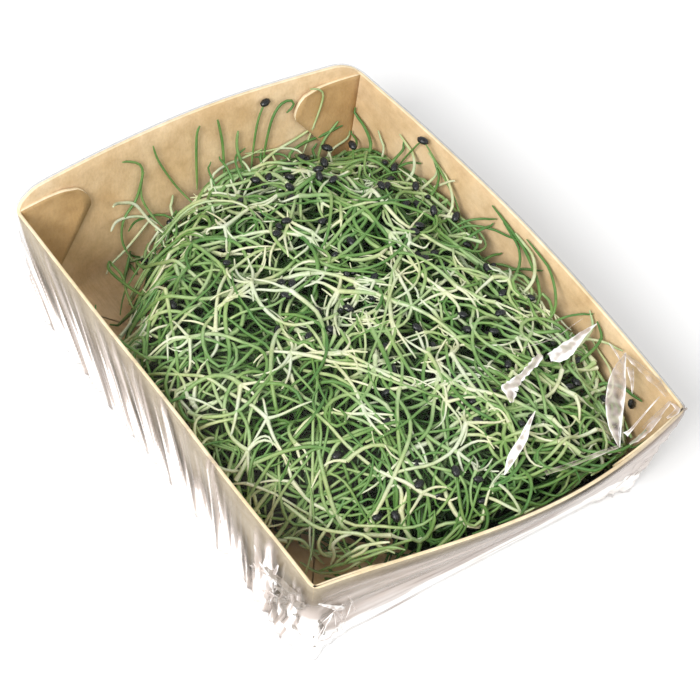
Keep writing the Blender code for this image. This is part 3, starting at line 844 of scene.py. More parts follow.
# %% Lay the carpet and the heap
CARPET_FAR, CARPET_MOVED_MOST = 0.6, 0.2
CARPET_HEADING, CARPET_CURL, CARPET_WAVER = 1.3, 2.0, 0.3
CARPET_LENGTH, CARPET_RADIUS, CARPET_CLEAR = (0.016, 0.034), (0.00036, 0.00052), (0.0016, 0.0040)
CARPET_LEVEL, CARPET_ARCH, CARPET_MORE = 0.014, 0.0010, (-0.0060, 0.0030)
CARPET_LIFT, CARPET_LIFT_NEAR = (0.0004, 0.0042), (0.0020, 0.0060)
TRIES_EARLY, TRIES_LATE, ROOM_ENOUGH = 14, 60, 0.0003
STEM_LENGTH, STEM_WAVER = (0.020, 0.060), (0.08, 0.42)
STEM_CURL, HARD_CURL, HARD_CURL_SHARE = 2.0, 4.6, 0.22
STEM_HOOKS = (0.0, 0.0, 2.2, -2.2)
DIVE, DIVE_SHARE, END_LIFT = -0.0045, 0.55, (-0.001, 0.003)
HUMP, HUMP_SHARE = (0.0008, 0.0026), 0.3
FORKED_AFTER, FORKED_LIFT, FORKED_CLEAR = 0.35, -0.002, 0.016
STEM_RADIUS = (0.00028, 0.00062, 0.00050)
SHRINK, SHRINK_MOST = 0.85, 0.45


def lay_carpet():
    """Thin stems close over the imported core. They show only through gaps, and don't raise the pile."""
    for number in range(CARPET_STEMS):
        near = number > CARPET_FAR * CARPET_STEMS
        x = draw.uniform(-0.010 if near else -0.068, 0.072)
        y = draw.uniform(-0.054, 0.010 if near else 0.054)
        heading = lock_heading(x, y) + draw.gauss(0.0, CARPET_HEADING)
        length = draw.uniform(*CARPET_LENGTH)
        level_x, level_y = level_path(x, y, heading, length, draw.gauss(0.0, CARPET_CURL), CARPET_WAVER)
        radius, more = draw.uniform(*CARPET_RADIUS), draw.gauss(*CARPET_MORE)
        level = np.full(len(level_x), CARPET_LEVEL)
        path_x, path_y, _ = held_in(level_x, level_y, level, radius, draw.uniform(*CARPET_CLEAR), more)
        if share_moved(level_x, level_y, path_x, path_y) > CARPET_MOVED_MOST:
            continue
        lift = draw.uniform(*(CARPET_LIFT_NEAR if near else CARPET_LIFT))
        arch = CARPET_ARCH * np.sin(np.linspace(0.0, math.pi, len(path_x)))
        z = smoothed(pile[cells_of(path_x, path_y)], 4) + lift + arch
        greens = stem_greens(x, y, 0.2)
        if np.max(path_x - path_y) < BARE_FRONT_CORNER - 0.001:
            keep_stem(stems, path_x, path_y, z, radius, greens, pieces=9)


def fill_heap():
    """Lay stems until the tries run out; a dropped one is tried shorter."""
    shrink = 1.0
    for number in range(STEM_TRIES):
        rank = number / STEM_TRIES
        x, y, room = neediest_cell(TRIES_EARLY if rank < 0.5 else TRIES_LATE)
        if room <= ROOM_ENOUGH:
            continue
        heading = lock_heading(x, y) + draw.gauss(0.0, LOCK_SPREAD)
        length = draw.uniform(*STEM_LENGTH) * shrink
        curl = draw.gauss(0.0, HARD_CURL if draw.random() < HARD_CURL_SHARE else STEM_CURL)
        hook = draw.choice(STEM_HOOKS)
        path_x, path_y = level_path(x, y, heading, length, curl, draw.uniform(*STEM_WAVER), hook)
        ends = [DIVE if draw.random() < DIVE_SHARE else draw.uniform(*END_LIFT) for _ in range(2)]
        hump = draw.uniform(*HUMP) if draw.random() < HUMP_SHARE else 0.0
        far = -(x + y) >= BARE_BACK_CORNER - FORKED_CLEAR
        forked = rank > FORKED_AFTER and ends[0] > FORKED_LIFT and not far
        radius = draw.triangular(*STEM_RADIUS)
        greens = stem_greens(x, y, rank)
        laid = lay(stems, path_x, path_y, radius, ends, greens, CROWN_TAPER if forked else PLAIN_TAPER, hump)
        shrink = max(SHRINK_MOST, shrink * SHRINK) if laid is None else 1.0
        if laid and forked:
            back = math.atan2(laid[1][0] - laid[1][3], laid[0][0] - laid[0][3])
            fork_roots(laid, back, draw.choice((1, 2, 2, 3, 4)), radius)
        if number in SEED_TURNS:
            drop_seeds(SEED_TURNS[number])


# %% [markdown]
# ## Seed coats
#
# Many tips still carry the black seed coat, a flattened, slightly wrinkled drop about three
# millimetres long, and others have dropped between the stems. They gather in dips of the pile,
# so each is put in the lowest of a few random cells. Some drop early and are half covered.

# %% Rule for the seed coats
SEED_TURNS = {int(STEM_TRIES * share): count for share, count in ((0.60, 20), (0.72, 22), (0.84, 26))}
SEEDS_LAST = 34
SEED_PLACES = [
    (-56.4, 13.2), (-54.8, 16.1), (-43.5, 15.0), (-50.9, 31.6), (-43.0, 46.5), (-39.5, 47.0), (-23.7, 38.9),
    (-11.9, 33.1), (-16.7, 43.1), (-15.1, 50.0), (-28.1, 45.6), (-30.1, 35.2), (-26.0, 40.5), (-14.0, 36.5),
    (-31.3, 5.4), (-29.1, 1.1), (-26.5, 13.9), (-14.2, -7.5), (-12.6, -5.2), (-8.5, 9.0), (22.5, 35.8),
    (22.7, 25.1), (5.7, -5.2), (-9.7, -9.0), (33.8, 11.9), (54.5, -12.1), (57.6, -3.8), (61.0, -29.0),
    (29.5, -5.3),
]
SEED_CLEAR, SEED_OVER, SEED_OVER_BY_HAND = 0.0016, 0.0012, 0.0014
SEED_CELLS = 5
SEED_X, SEED_Y, SEED_Y_RIGHT = (-0.062, 0.068), (-0.046, 0.052), (-0.012, 0.052)


def cell_at(x, y):
    i, j = cells_of(np.array([x]), np.array([y]))
    return int(i[0]), int(j[0])


def level_round(i, j, reach):
    """The pile's mean height round a cell."""
    return float(pile[max(i - reach, 0):i + reach + 1, max(j - reach, 0):j + reach + 1].mean())


def keep_seed(x, y, z, lean, smallest, largest):
    """Keep a seed coat clear of the walls and the film, with a turn, a lean and a size of its own."""
    place = held_in(np.array([x]), np.array([y]), np.array([z]), SEED_CLEAR)
    turned = (draw.uniform(0.0, FULL_TURN), draw.gauss(0.0, lean), draw.uniform(smallest, largest))
    seeds.append((np.array([line[0] for line in place]), *turned))


def place_seeds():
    """Seed coats that are easy to tell apart, set on the finished heap at listed places, in millimetres."""
    for x, y in SEED_PLACES:
        level = level_round(*cell_at(x * MM, y * MM), 3)
        keep_seed(x * MM, y * MM, level + SEED_OVER_BY_HAND, 0.4, 0.95, 1.15)


def drop_seeds(count):
    """Seed coats dropped at random, each into the deepest dip of a few cells."""
    for number in range(count):
        best = None
        for _ in range(SEED_CELLS):
            x = draw.uniform(*SEED_X)
            y = draw.uniform(*(SEED_Y if number % 2 else SEED_Y_RIGHT))
            i, j = cell_at(x, y)
            level = level_round(i, j, 5)
            dip = level - float(pile[i, j])
            if goal[i, j] > 0.0 and (best is None or dip > best[0]):
                best = (dip, x, y, level + SEED_OVER)
        if best:
            keep_seed(*best[1:], 0.35, 0.78, 1.12)


lay_carpet()
fill_heap()
left_over = (goal - pile)[goal > 0.0]
print("stems:", len(stems), "roots:", len(roots), "seed coats:", len(seeds))
print("still short by, in mm:", round(float(left_over.mean()) / MM, 2))

# %% [markdown]
# ## What stands out of the heap
#
# A few stems and roots are easy to tell apart: those by the back and right walls, those that
# hang over the bare near corner, and the bunches of cream roots that lie on top like small
# stars. These are given as points in millimetres from the middle of the tray's floor,
# and a smooth curve goes through them. Some carry a seed coat at the tip. Others lean on the
# walls at random. All rest on the wall or on the heap.

# %% Strays from a list
SEEDED = "with a seed coat at its tip"
STRAYS = [
    ([(-71.0, 24.2, 35.4), (-69.8, 21.5, 30.9), (-68.1, 19.2, 22.4),
      (-64.9, 17.4, 13.5)], 0.36, 0.80, SEEDED),
    ([(-70.4, 30.4, 30.2), (-70.2, 33.0, 31.9), (-70.2, 31.6, 33.9), (-70.4, 28.0, 32.9),
      (-70.0, 24.8, 27.5), (-66.5, 21.0, 15.0)], 0.42, 0.95),
    ([(-70.0, 37.9, 35.4), (-69.5, 41.2, 34.2), (-68.6, 41.8, 30.7), (-67.2, 38.1, 22.1),
      (-64.5, 33.8, 13.7)], 0.34, 0.30),
    ([(-71.0, 3.6, 35.6), (-70.3, 2.1, 31.7), (-66.0, 0.6, 17.0)], 0.42, 0.85),
    ([(-71.0, 9.3, 35.2), (-70.3, 9.9, 31.0), (-69.0, 10.0, 25.8), (-64.0, 9.0, 14.0)], 0.45, 0.80),
    ([(-70.8, -11.2, 35.3), (-69.6, -9.8, 28.9), (-66.6, -4.6, 19.1), (-62.0, -1.0, 14.0)], 0.36, 0.75),
    ([(-70.4, -21.7, 35.0), (-69.9, -16.6, 32.6), (-69.6, -15.1, 29.0), (-66.9, -17.2, 21.3),
      (-62.0, -12.0, 12.0)], 0.40, 0.70),
    ([(-67.5, -31.8, 27.2), (-66.9, -22.4, 23.1), (-66.4, -18.8, 20.6), (-63.4, -15.9, 15.5),
      (-58.0, -14.0, 14.0)], 0.50, 0.04),
    ([(-65.7, -32.4, 19.5), (-65.7, -24.0, 18.5), (-65.1, -17.1, 16.6), (-62.4, -14.2, 14.5)], 0.45, 0.04),
    ([(-65.1, -14.8, 14.0), (-63.4, -20.6, 11.0), (-61.8, -26.4, 8.5), (-60.9, -33.7, 7.0)], 0.42, 0.10),
    ([(-68.3, -15.5, 29.8), (-67.0, -18.2, 21.9), (-65.5, -23.2, 17.9), (-63.2, -24.7, 11.4),
      (-60.5, -22.5, 6.0)], 0.42, 0.78),
    ([(-63.4, -32.1, 9.0), (-56.8, -31.8, 9.5), (-48.1, -30.0, 10.0), (-40.7, -28.1, 12.0)], 0.48, 0.82),
    ([(-62.8, -30.1, 8.0), (-55.8, -29.0, 8.6), (-49.1, -31.8, 9.0), (-42.7, -33.1, 9.0)], 0.42, 0.62),
    ([(-69.0, 15.0, 30.0), (-67.5, 14.0, 24.0), (-63.0, 15.5, 17.0), (-55.0, 12.0, 19.5)], 0.50, 0.62),
    ([(-67.5, 46.5, 22.0), (-66.8, 44.0, 19.5), (-62.0, 38.0, 16.0), (-54.0, 33.0, 19.0)], 0.46, 0.60),
    ([(-57.7, 28.9, 23.0), (-57.5, 24.0, 21.8), (-56.8, 17.5, 19.5),
      (-53.0, 12.0, 17.0)], 0.42, 0.04, SEEDED),
    ([(-57.4, 37.2, 23.0), (-56.0, 37.8, 20.0), (-52.0, 37.0, 15.0)], 0.36, 0.06, SEEDED),
    ([(-54.8, 44.0, 23.0), (-53.0, 43.5, 19.5), (-49.0, 41.0, 14.5)], 0.36, 0.70, SEEDED),
    ([(-36.9, 54.4, 34.2), (-25.7, 54.2, 29.6), (-18.7, 53.2, 27.0), (-10.0, 50.0, 24.0)], 0.30, 0.78),
    ([(-38.0, 54.4, 34.3), (-41.9, 52.6, 25.9), (-42.7, 51.0, 20.1),
      (-38.0, 47.5, 17.0)], 0.30, 0.80, SEEDED),
    ([(-23.0, 54.6, 32.0), (-30.1, 52.4, 24.5), (-32.5, 51.4, 25.2), (-34.5, 49.0, 20.0)], 0.40, 0.06),
    ([(37.0, -39.3, 20.0), (42.7, -38.0, 20.0), (46.9, -36.0, 19.0), (50.9, -32.0, 19.0),
      (54.7, -27.8, 20.0), (59.7, -27.3, 21.0), (65.6, -26.6, 24.0)], 0.50, 0.22),
    ([(46.5, -31.0, 19.0), (47.9, -34.4, 17.0), (48.0, -36.0, 14.0), (49.6, -35.5, 11.0),
      (50.4, -33.1, 9.0)], 0.46, 0.20),
    ([(52.5, -29.0, 18.5), (51.7, -31.8, 18.0), (50.8, -33.8, 15.0), (51.8, -33.2, 12.0),
      (51.6, -33.9, 8.0)], 0.52, 0.06),
    ([(43.7, -43.3, 16.0), (45.0, -39.0, 14.0), (46.4, -37.3, 11.0), (48.2, -35.1, 7.0),
      (49.0, -33.9, 5.0)], 0.46, 0.30),
    ([(60.1, -35.5, 21.0), (63.2, -35.8, 24.0), (67.5, -33.6, 27.0), (68.4, -31.7, 28.0)], 0.48, 0.12),
    ([(58.2, -35.9, 15.0), (58.5, -34.5, 18.0), (62.0, -32.5, 22.0), (66.6, -29.2, 26.0),
      (67.1, -24.8, 26.0)], 0.44, 0.55),
    ([(59.3, -34.5, 19.0), (63.5, -35.1, 22.0), (66.9, -36.7, 26.0)], 0.46, 0.10),
    ([(51.8, -37.6, 8.0), (54.7, -35.4, 12.0), (57.9, -33.2, 16.0), (61.0, -30.7, 20.0),
      (63.4, -26.3, 23.0)], 0.44, 0.52),
    ([(44.9, -38.3, 4.0), (49.5, -36.5, 4.0), (53.4, -34.7, 7.0), (57.1, -33.6, 12.0),
      (59.6, -31.8, 17.0)], 0.40, 0.34),
    ([(57.4, -28.6, 18.0), (55.0, -30.8, 15.0), (53.3, -32.7, 11.0), (51.8, -34.1, 6.0)], 0.46, 0.34),
    ([(64.7, -24.9, 24.0), (61.3, -27.3, 20.0), (58.8, -30.5, 16.0), (57.0, -32.6, 12.0)], 0.50, 0.32),
    ([(64.4, -20.6, 24.0), (61.3, -23.8, 20.0), (58.6, -27.4, 16.0), (58.5, -31.8, 14.0)], 0.46, 0.50),
    ([(42.9, -37.3, 8.0), (46.9, -34.6, 8.0), (51.0, -31.5, 9.0), (55.7, -29.8, 13.0)], 0.44, 0.40),
    ([(64.0, 14.0, 25.0), (67.3, 22.0, 27.0), (68.6, 27.7, 28.0), (68.7, 34.1, 28.0)], 0.44, 0.60),
    ([(66.5, 8.0, 26.0), (69.4, 15.7, 27.0), (70.0, 20.4, 28.0), (70.2, 27.3, 29.0),
      (69.6, 35.0, 29.0)], 0.42, 0.80),
    ([(60.0, 26.0, 25.0), (64.4, 29.5, 26.0), (67.4, 29.8, 27.0), (69.8, 32.8, 29.0)], 0.46, 0.40),
    ([(62.0, 33.0, 25.0), (65.4, 28.0, 26.0), (68.4, 23.8, 28.0), (69.8, 18.8, 29.0)], 0.40, 0.72),
]
ROOT_STARS = [
    (7.5, -19.0, 6), (-22.5, 7.4, 5), (-56.0, 11.0, 5), (13.8, -8.0, 4), (10.5, 27.0, 5), (-17.0, -15.0, 6),
    (48.0, 6.0, 5), (-40.0, -8.0, 5), (33.0, -14.0, 4), (-30.0, 32.0, 5), (28.0, 16.0, 4), (-2.0, 8.0, 4),
    (56.0, -12.0, 3), (-10.0, -30.0, 4), (-61.0, -15.0, 5), (-52.0, -20.0, 4), (20.0, -34.0, 4),
      (-48.0, 24.0, 5),
]
CURVE_STEPS = 8


def smooth_curve(marks, steps=CURVE_STEPS):
    """A curve through the marks, as an array of points."""
    marks = np.array([marks[0], *marks, marks[-1]], float)
    points = []
    for index in range(1, len(marks) - 2):
        before, here, after, beyond = marks[index - 1:index + 3]
        for t in np.arange(steps) / steps:
            square = (2 * before - 5 * here + 4 * after - beyond) * t ** 2
            cube = (3 * here - before - 3 * after + beyond) * t ** 3
            points.append(0.5 * (2 * here + (after - before) * t + square + cube))
    return np.array([*points, marks[-2]])


def place_strays():
    for marks, radius, green, *tip in STRAYS:
        path = smooth_curve(marks) * MM
        x, y, z = held_in(*path.T, radius * MM, more=0.012)
        keep_stem(stems, x, y, z, radius * MM, [green, green, green * 0.9, green * 0.6], pieces=18)
        if tip:
            seeds.append((np.array([x[0], y[0], z[0]]), math.atan2(y[0] - y[2], x[0] - x[2]), 0.0, 1.1))


def place_stars():
    for x, y, count in ROOT_STARS:
        heading = draw.uniform(0.0, FULL_TURN)
        path = path_from(x * MM, y * MM, heading, 0.040, draw.gauss(0.0, 1.5), 0.12)
        laid = lay(stems, *path, 0.00050, (0.0010, -0.003), [0.0, 0.10, 0.25, 0.55], CROWN_TAPER)
        if laid:
            fork_roots(laid, heading + math.pi, count, 0.00052, spread=4.2 / count)


place_strays()
place_stars()
seeds.append((np.array([58.2, 52.9, 24.2]) * MM, 0.4, 1.2, 1.0))
print("stems with the strays:", len(stems), "roots with the stars:", len(roots))

# %% [markdown]
# Many more stems lean on the walls. Each goes through four marks: a foot in the heap, a
# shoulder near the wall, and two touches on the wall above it. Some are pale, and most are green.

# %% Stems that lean on the walls
LEANERS = (
    ("back", 0.08, 0.80, 24), ("right", 0.10, 0.97, 26),
    ("front", 0.10, 0.95, 24), ("left", 0.10, 0.78, 20),
)
LEAN_LEVEL, LEAN_DRIFT, LEAN_CLEAR = 0.6, 0.11, 0.0016
LEAN_FOOT, LEAN_SHOULDER, LEAN_RISE, LEAN_TOP = (0.008, 0.014), 0.0045, (0.001, 0.006), 0.0335
LEAN_PALE, LEAN_RADIUS = 0.35, (0.00034, 0.00052)


def lean_on(wall, along):
    """A stem whose root is in the heap and whose tip rests on a wall."""
    drift = draw.gauss(0.0, LEAN_DRIFT)
    at_wall = wall_point(wall, along, LEAN_LEVEL)
    inward = -way_out(wall, along, LEAN_LEVEL)
    foot = at_wall + inward * draw.uniform(*LEAN_FOOT)
    shoulder = at_wall + inward * LEAN_SHOULDER
    base = float(pile_under(np.array([shoulder.x]), np.array([shoulder.y]))[0])
    rise = draw.uniform(*LEAN_RISE)
    marks = [(*foot, base - 0.002), (*shoulder, base + 0.0012)]
    for share in (0.6, 1.0):
        height = min(base + rise * share, LEAN_TOP)
        touch = wall_point(wall, clamp(along + drift * share, 0.02, 0.98), height / WALL_HEIGHT)
        marks.append((*(touch + inward * LEAN_CLEAR), height))
    path = smooth_curve(marks)
    x, y, z = held_in(*path.T, 0.0004, clear=0.0014, more=0.006)
    greens = [0.05, 0.1, 0.3] if draw.random() < LEAN_PALE else [0.6, 0.85, 1.0]
    keep_stem(stems, x, y, z, draw.uniform(*LEAN_RADIUS), greens, pieces=12)


for wall, first, last, count in LEANERS:
    for index in range(count):
        lean_on(wall, first + (last - first) * (index + draw.random()) / count)
drop_seeds(SEEDS_LAST)
place_seeds()
print("stems with the leaning ones:", len(stems), "seed coats:", len(seeds))

# %% [markdown]
# ## Light in the heap
#
# Little light gets between the stems, and what does is green. A ray tracer finds part of that
# by itself, and the rest is painted shade: the map of the finished pile, smoothed over a few
# millimetres, is the heap's skin, and each point of a stem gets a number for how far it lies
# under that skin. That number darkens the stem's colour.

# %% How deep each stem lies
SKIN_REACH = 7
SKIN_LOWER = 0.0004
DARK_DEPTH = 0.0042


def heap_skin():
    """The pile smoothed over a few millimetres, and just over the floor where no sprouts lie."""
    skin = np.where(goal > 0.0, pile, FLOOR_TOP + 0.0030)
    reach = range(-SKIN_REACH, SKIN_REACH + 1)
    for axis in (0, 1, 0, 1):
        skin = sum(np.roll(skin, shift, axis) for shift in reach) / len(reach)
    return np.where(goal > 0.0, skin, FLOOR_TOP + 0.0020)


skin = heap_skin()


def shade_of(places):
    """Painted shade: 1 on the heap's skin and above, down to 0 deep under it."""
    depth = skin[cells_of(places[:, 0], places[:, 1])] - SKIN_LOWER - places[:, 2]
    return np.clip(1.0 - depth / DARK_DEPTH, 0.0, 1.0)


for kept in (stems, roots):
    kept[:] = [(*stem, shade_of(stem[0])) for stem in kept]
on_skin = np.concatenate([stem[3] for stem in stems]) > 0.95
print("share of points on the skin:", round(float(np.mean(on_skin)), 2))

# %% [markdown]
# ## Finish of the sprouts
#
# A sprout is moist and slightly see-through, so it has a soft gloss and lets a little light in.
# Its colour runs from cream root to green tip along the stem. The numbers kept while laying
# it become attributes of the mesh, and the finish reads them through one ramp. Fine noise along
# the stem breaks the ramp, and stems deep in the pile are darkened by painted shade.

# %% Finishes of the sprouts
def sprout_finish(name):
    """Cream to green along a stem, with painted shade deep in the heap, soft patches and fine streaks."""
    finish = Finish(name)
    cloud = finish.noise(0.0035, detail=2.0)
    streaks = finish.noise(0.0005, detail=2.0)
    shift = finish.maths("MULTIPLY", finish.maths("SUBTRACT", cloud, 0.42), 0.55)
    green = finish.maths("ADD", finish.number("green"), shift)
    greens = (0.0, "E6E5D0"), (0.22, "C6CFA6"), (0.45, "9EB77E"), (0.72, "729754"), (1.0, "527F40")
    colour = finish.ramp(green, *greens)
    # These tints paint shade on the stems that lie deep under the heap's skin.
    deep = (0.0, (0.13, 0.23, 0.12)), (0.5, (0.52, 0.66, 0.46)), (0.95, WHITE)
    patches = (0.38, (1.0, 0.98, 0.80)), (0.62, (0.90, 0.97, 0.95))
    colour = finish.tinted(colour, 1.0, finish.number("shade"), *deep)
    colour = finish.tinted(colour, 0.8, finish.noise(0.009, detail=1.0), *patches)
    colour = finish.tinted(colour, 0.6, streaks, (0.35, (0.80, 0.84, 0.74)), (0.6, WHITE))
    return finish.skin(colour, 0.42, 0.4, streaks, 0.00006)


def two_tone_finish(name, dark, light, size, rough, depth, gloss=0.5):
    """A finish of two tones of one colour with small relief."""
    finish = Finish(name)
    grain = finish.noise(size)
    return finish.skin(finish.ramp(grain, (0.35, dark), (0.7, light)), rough, gloss, grain, depth)


stem_skin = sprout_finish("sprout stem")
seed_skin = two_tone_finish("seed coat", "050708", "161D1F", 0.0006, 0.34, 0.00012)
# The core's near black green is painted shade between the packed stems.
core_painted_shade = two_tone_finish("deep in the heap", "0C1F0E", "203C19", 0.0040, 0.9, 0.0004, 0.05)
print("sprout finishes:", stem_skin.name, seed_skin.name, core_painted_shade.name)

# %% [markdown]
# ## Round stems by Geometry Nodes
#
# Every stem is a line with a thickness, so one small node tree makes them all: mesh lines
# become curves, and a ring with few sides is swept along each, scaled by the kept thickness.
# Few sides are enough for a stem a millimetre thick, and keep a thousand of them light. The
# result is turned into a plain mesh, with its colour numbers still on it.

# %% Node tree for the stems
def new_tree(name, **inputs):
    """A geometry node tree with the named inputs. Returns it, their sockets, and its two end nodes."""
    tree = bpy.data.node_groups.new(name, "GeometryNodeTree")
    tree.interface.new_socket("Geometry", in_out="INPUT", socket_type="NodeSocketGeometry")
    sockets = {}
    for label, kind in inputs.items():
        sockets[label] = tree.interface.new_socket(label, in_out="INPUT", socket_type="NodeSocket" + kind)
    tree.interface.new_socket("Geometry", in_out="OUTPUT", socket_type="NodeSocketGeometry")
    return tree, sockets, tree.nodes.new("NodeGroupInput"), tree.nodes.new("NodeGroupOutput")


def wire(tree, *pairs):
    """Link pairs of sockets, each from the first to the second."""
    for source, target in pairs:
        tree.links.new(source, target)


def named(tree, name, kind):
    attribute = tree.nodes.new("GeometryNodeInputNamedAttribute")
    attribute.data_type = kind
    attribute.inputs["Name"].default_value = name
    return attribute.outputs["Attribute"]


def end_tree(tree, enter, geometry, leave):
    """Shade the faces smooth, make instances real and give them the finish."""
    smooth = tree.nodes.new("GeometryNodeSetShadeSmooth")
    realize = tree.nodes.new("GeometryNodeRealizeInstances")
    paint = tree.nodes.new("GeometryNodeSetMaterial")
    wire(tree, (geometry, smooth.inputs["Geometry"]),
         (smooth.outputs["Geometry"], realize.inputs["Geometry"]),
         (realize.outputs["Geometry"], paint.inputs["Geometry"]),
         (enter.outputs["Finish"], paint.inputs["Material"]),
         (paint.outputs["Geometry"], leave.inputs["Geometry"]))


def stem_tree():
    tree, sockets, enter, leave = new_tree("Round stems", Sides="Int", Thickness="Float", Finish="Material")
    to_curve = tree.nodes.new("GeometryNodeMeshToCurve")
    ring = tree.nodes.new("GeometryNodeCurvePrimitiveCircle")
    sweep = tree.nodes.new("GeometryNodeCurveToMesh")
    scaled = tree.nodes.new("ShaderNodeMath")
    scaled.operation = "MULTIPLY"
    ring.inputs["Radius"].default_value = 1.0
    sweep.inputs["Fill Caps"].default_value = True
    wire(tree, (enter.outputs["Geometry"], to_curve.inputs["Mesh"]),
         (named(tree, "thick", "FLOAT"), scaled.inputs[0]),
         (enter.outputs["Thickness"], scaled.inputs[1]),
         (scaled.outputs[0], sweep.inputs["Scale"]),
         (enter.outputs["Sides"], ring.inputs["Resolution"]),
         (to_curve.outputs["Curve"], sweep.inputs["Curve"]),
         (ring.outputs["Curve"], sweep.inputs["Profile Curve"]))
    end_tree(tree, enter, sweep.outputs["Mesh"], leave)
    return tree, sockets


STEM_TREE = stem_tree()


def baked(name, rough_object, tree, sockets, **values):
    """Run a node tree on an object and return the result as a plain mesh object."""
    modifier = rough_object.modifiers.new("Nodes", "NODES")
    modifier.node_group = tree
    for label, value in values.items():
        modifier[sockets[label].identifier] = value
    graph = bpy.context.evaluated_depsgraph_get()
    mesh = bpy.data.meshes.new_from_object(rough_object.evaluated_get(graph))
    mesh.name = name
    made = in_scene(name, mesh)
    bpy.data.objects.remove(rough_object, do_unlink=True)
    return made


def give_numbers(mesh, label, values):
    """Give each point of a mesh its number."""
    mesh.attributes.new(label, "FLOAT", "POINT").data.foreach_set("value", np.array(values, np.float32))


def lines_object(lines):
    """One mesh of edges through every line's points, with its numbers as attributes."""
    points, edges = [], []
    for places, *_ in lines:
        first = len(points)
        points += [tuple(Vector(place) + TO_ORIGIN) for place in places]
        edges += [(index, index + 1) for index in range(first, len(points) - 1)]
    mesh = bpy.data.meshes.new("lines")
    mesh.from_pydata(points, edges, [])
    for label, values in zip(("thick", "green", "shade"), list(zip(*lines))[1:]):
        give_numbers(mesh, label, np.concatenate(values))
    return in_scene("lines", mesh)


def make_stems(name, lines, sides):
    made = baked(name, lines_object(lines), *STEM_TREE, Sides=sides, Thickness=1.0, Finish=stem_skin)
    print(name, len(lines), "lines,", len(made.data.polygons), "faces")
    print("its attributes:", [attribute.name for attribute in made.data.attributes][:12])
    return made


half = len(stems) // 2
sprout_stems = make_stems("sprout_stems", stems[half:], 5)
sprout_under = make_stems("sprout_stems_under", stems[:half], 4)
sprout_roots = make_stems("sprout_roots", roots, 4)

# %% [markdown]
# ## Seed coats by Geometry Nodes
#
# All seed coats are one small ball, squeezed flat, that is set on points with a turn and a size
# of its own for each. Instances keep the tree short, and they are made real at its end because
# only real faces leave Blender.

# %% Node tree for the seed coats
SEED_LENGTH, SEED_WIDTH, SEED_DEPTH = 0.0033, 0.64, 0.50


def seed_tree():
    tree, sockets, enter, leave = new_tree("Seed coats", Length="Float", Finish="Material")
    ball = tree.nodes.new("GeometryNodeMeshUVSphere")
    for label, value in (("Segments", 8), ("Rings", 6), ("Radius", 0.5)):
        ball.inputs[label].default_value = value
    place = tree.nodes.new("GeometryNodeInstanceOnPoints")
    turn = tree.nodes.new("FunctionNodeEulerToRotation")
    size = tree.nodes.new("ShaderNodeVectorMath")
    size.operation = "SCALE"
    wire(tree, (enter.outputs["Geometry"], place.inputs["Points"]),
         (ball.outputs["Mesh"], place.inputs["Instance"]),
         (named(tree, "turn", "FLOAT_VECTOR"), turn.inputs["Euler"]),
         (turn.outputs["Rotation"], place.inputs["Rotation"]),
         (named(tree, "size", "FLOAT_VECTOR"), size.inputs[0]),
         (enter.outputs["Length"], size.inputs["Scale"]),
         (size.outputs["Vector"], place.inputs["Scale"]))
    end_tree(tree, enter, place.outputs["Instances"], leave)
    return tree, sockets


def make_seeds():
    mesh = bpy.data.meshes.new("seed places")
    mesh.from_pydata([tuple(Vector(place) + TO_ORIGIN) for place, *_ in seeds], [], [])
    turns = np.array([(0.3 * tilt, tilt, yaw) for _, yaw, tilt, _ in seeds], np.float32)
    sizes = np.array([(size, SEED_WIDTH * size, SEED_DEPTH * size) for *_, size in seeds], np.float32)
    for label, values in (("turn", turns), ("size", sizes)):
        mesh.attributes.new(label, "FLOAT_VECTOR", "POINT").data.foreach_set("vector", values.ravel())
    places = in_scene("seed places", mesh)
    return baked("seed_coats", places, *seed_tree(), Length=SEED_LENGTH, Finish=seed_skin)


seed_coats = make_seeds()
print("seed_coats:", len(seeds), "coats,", len(seed_coats.data.polygons), "faces")

# %% [markdown]
# ## The imported core
#
# Under the tangle the sprouts are packed so close that only darkness shows between them. A low
# mound with the heap's own rule stands for that, a few millimetres under the stems, so that no
# gap ever shows an empty tray. Its near black green is painted shade.

# %% Make the core
CORE_STATIONS = {"left": 30, "front": 24, "right": 30, "back": 24}
CORE_RINGS = 14
CORE_MARGIN = 0.0045


def core_foot():
    """The core's outline on the floor: clear of the walls, and ragged by the two bare corners."""
    foot = []
    for point in [station_point(stop, BOARD) for stop in stations(CORE_STATIONS)]:
        share = 1.0 - CORE_MARGIN / point.length
        for bare, nearness in bare_corners(point.x, point.y):
            if nearness > 0.0:
                ragged = 0.0030 + 0.0100 * abs(noise.noise(Vector((point.x, point.y, 6.0)) / 0.007))
                share = min(share, (bare - 2.0 * CORE_MARGIN - ragged) / nearness)
        foot.append(point * share)
    return foot


def make_core():
    foot = core_foot()
    rings = [[Vector((point.x, point.y, FLOOR_TOP + 0.0001)) for point in foot]]
    for step in range(CORE_RINGS):
        left = 1.0 - step / CORE_RINGS
        ring = []
        for point in foot:
            x, y = point.x * left, point.y * left
            height = max(heap_height(x, y) - CORE_BELOW, FLOOR_TOP + 0.0006)
            ring.append(Vector((x, y, height + 0.0008 * noise.noise(Vector((x, y, 1.0)) / 0.004))))
        rings.append(ring)
    return face_out(put("sprout_core", *stack(rings), [core_painted_shade]))


sprout_core = make_core()
print("sprout_core:", len(sprout_core.data.polygons), "faces")
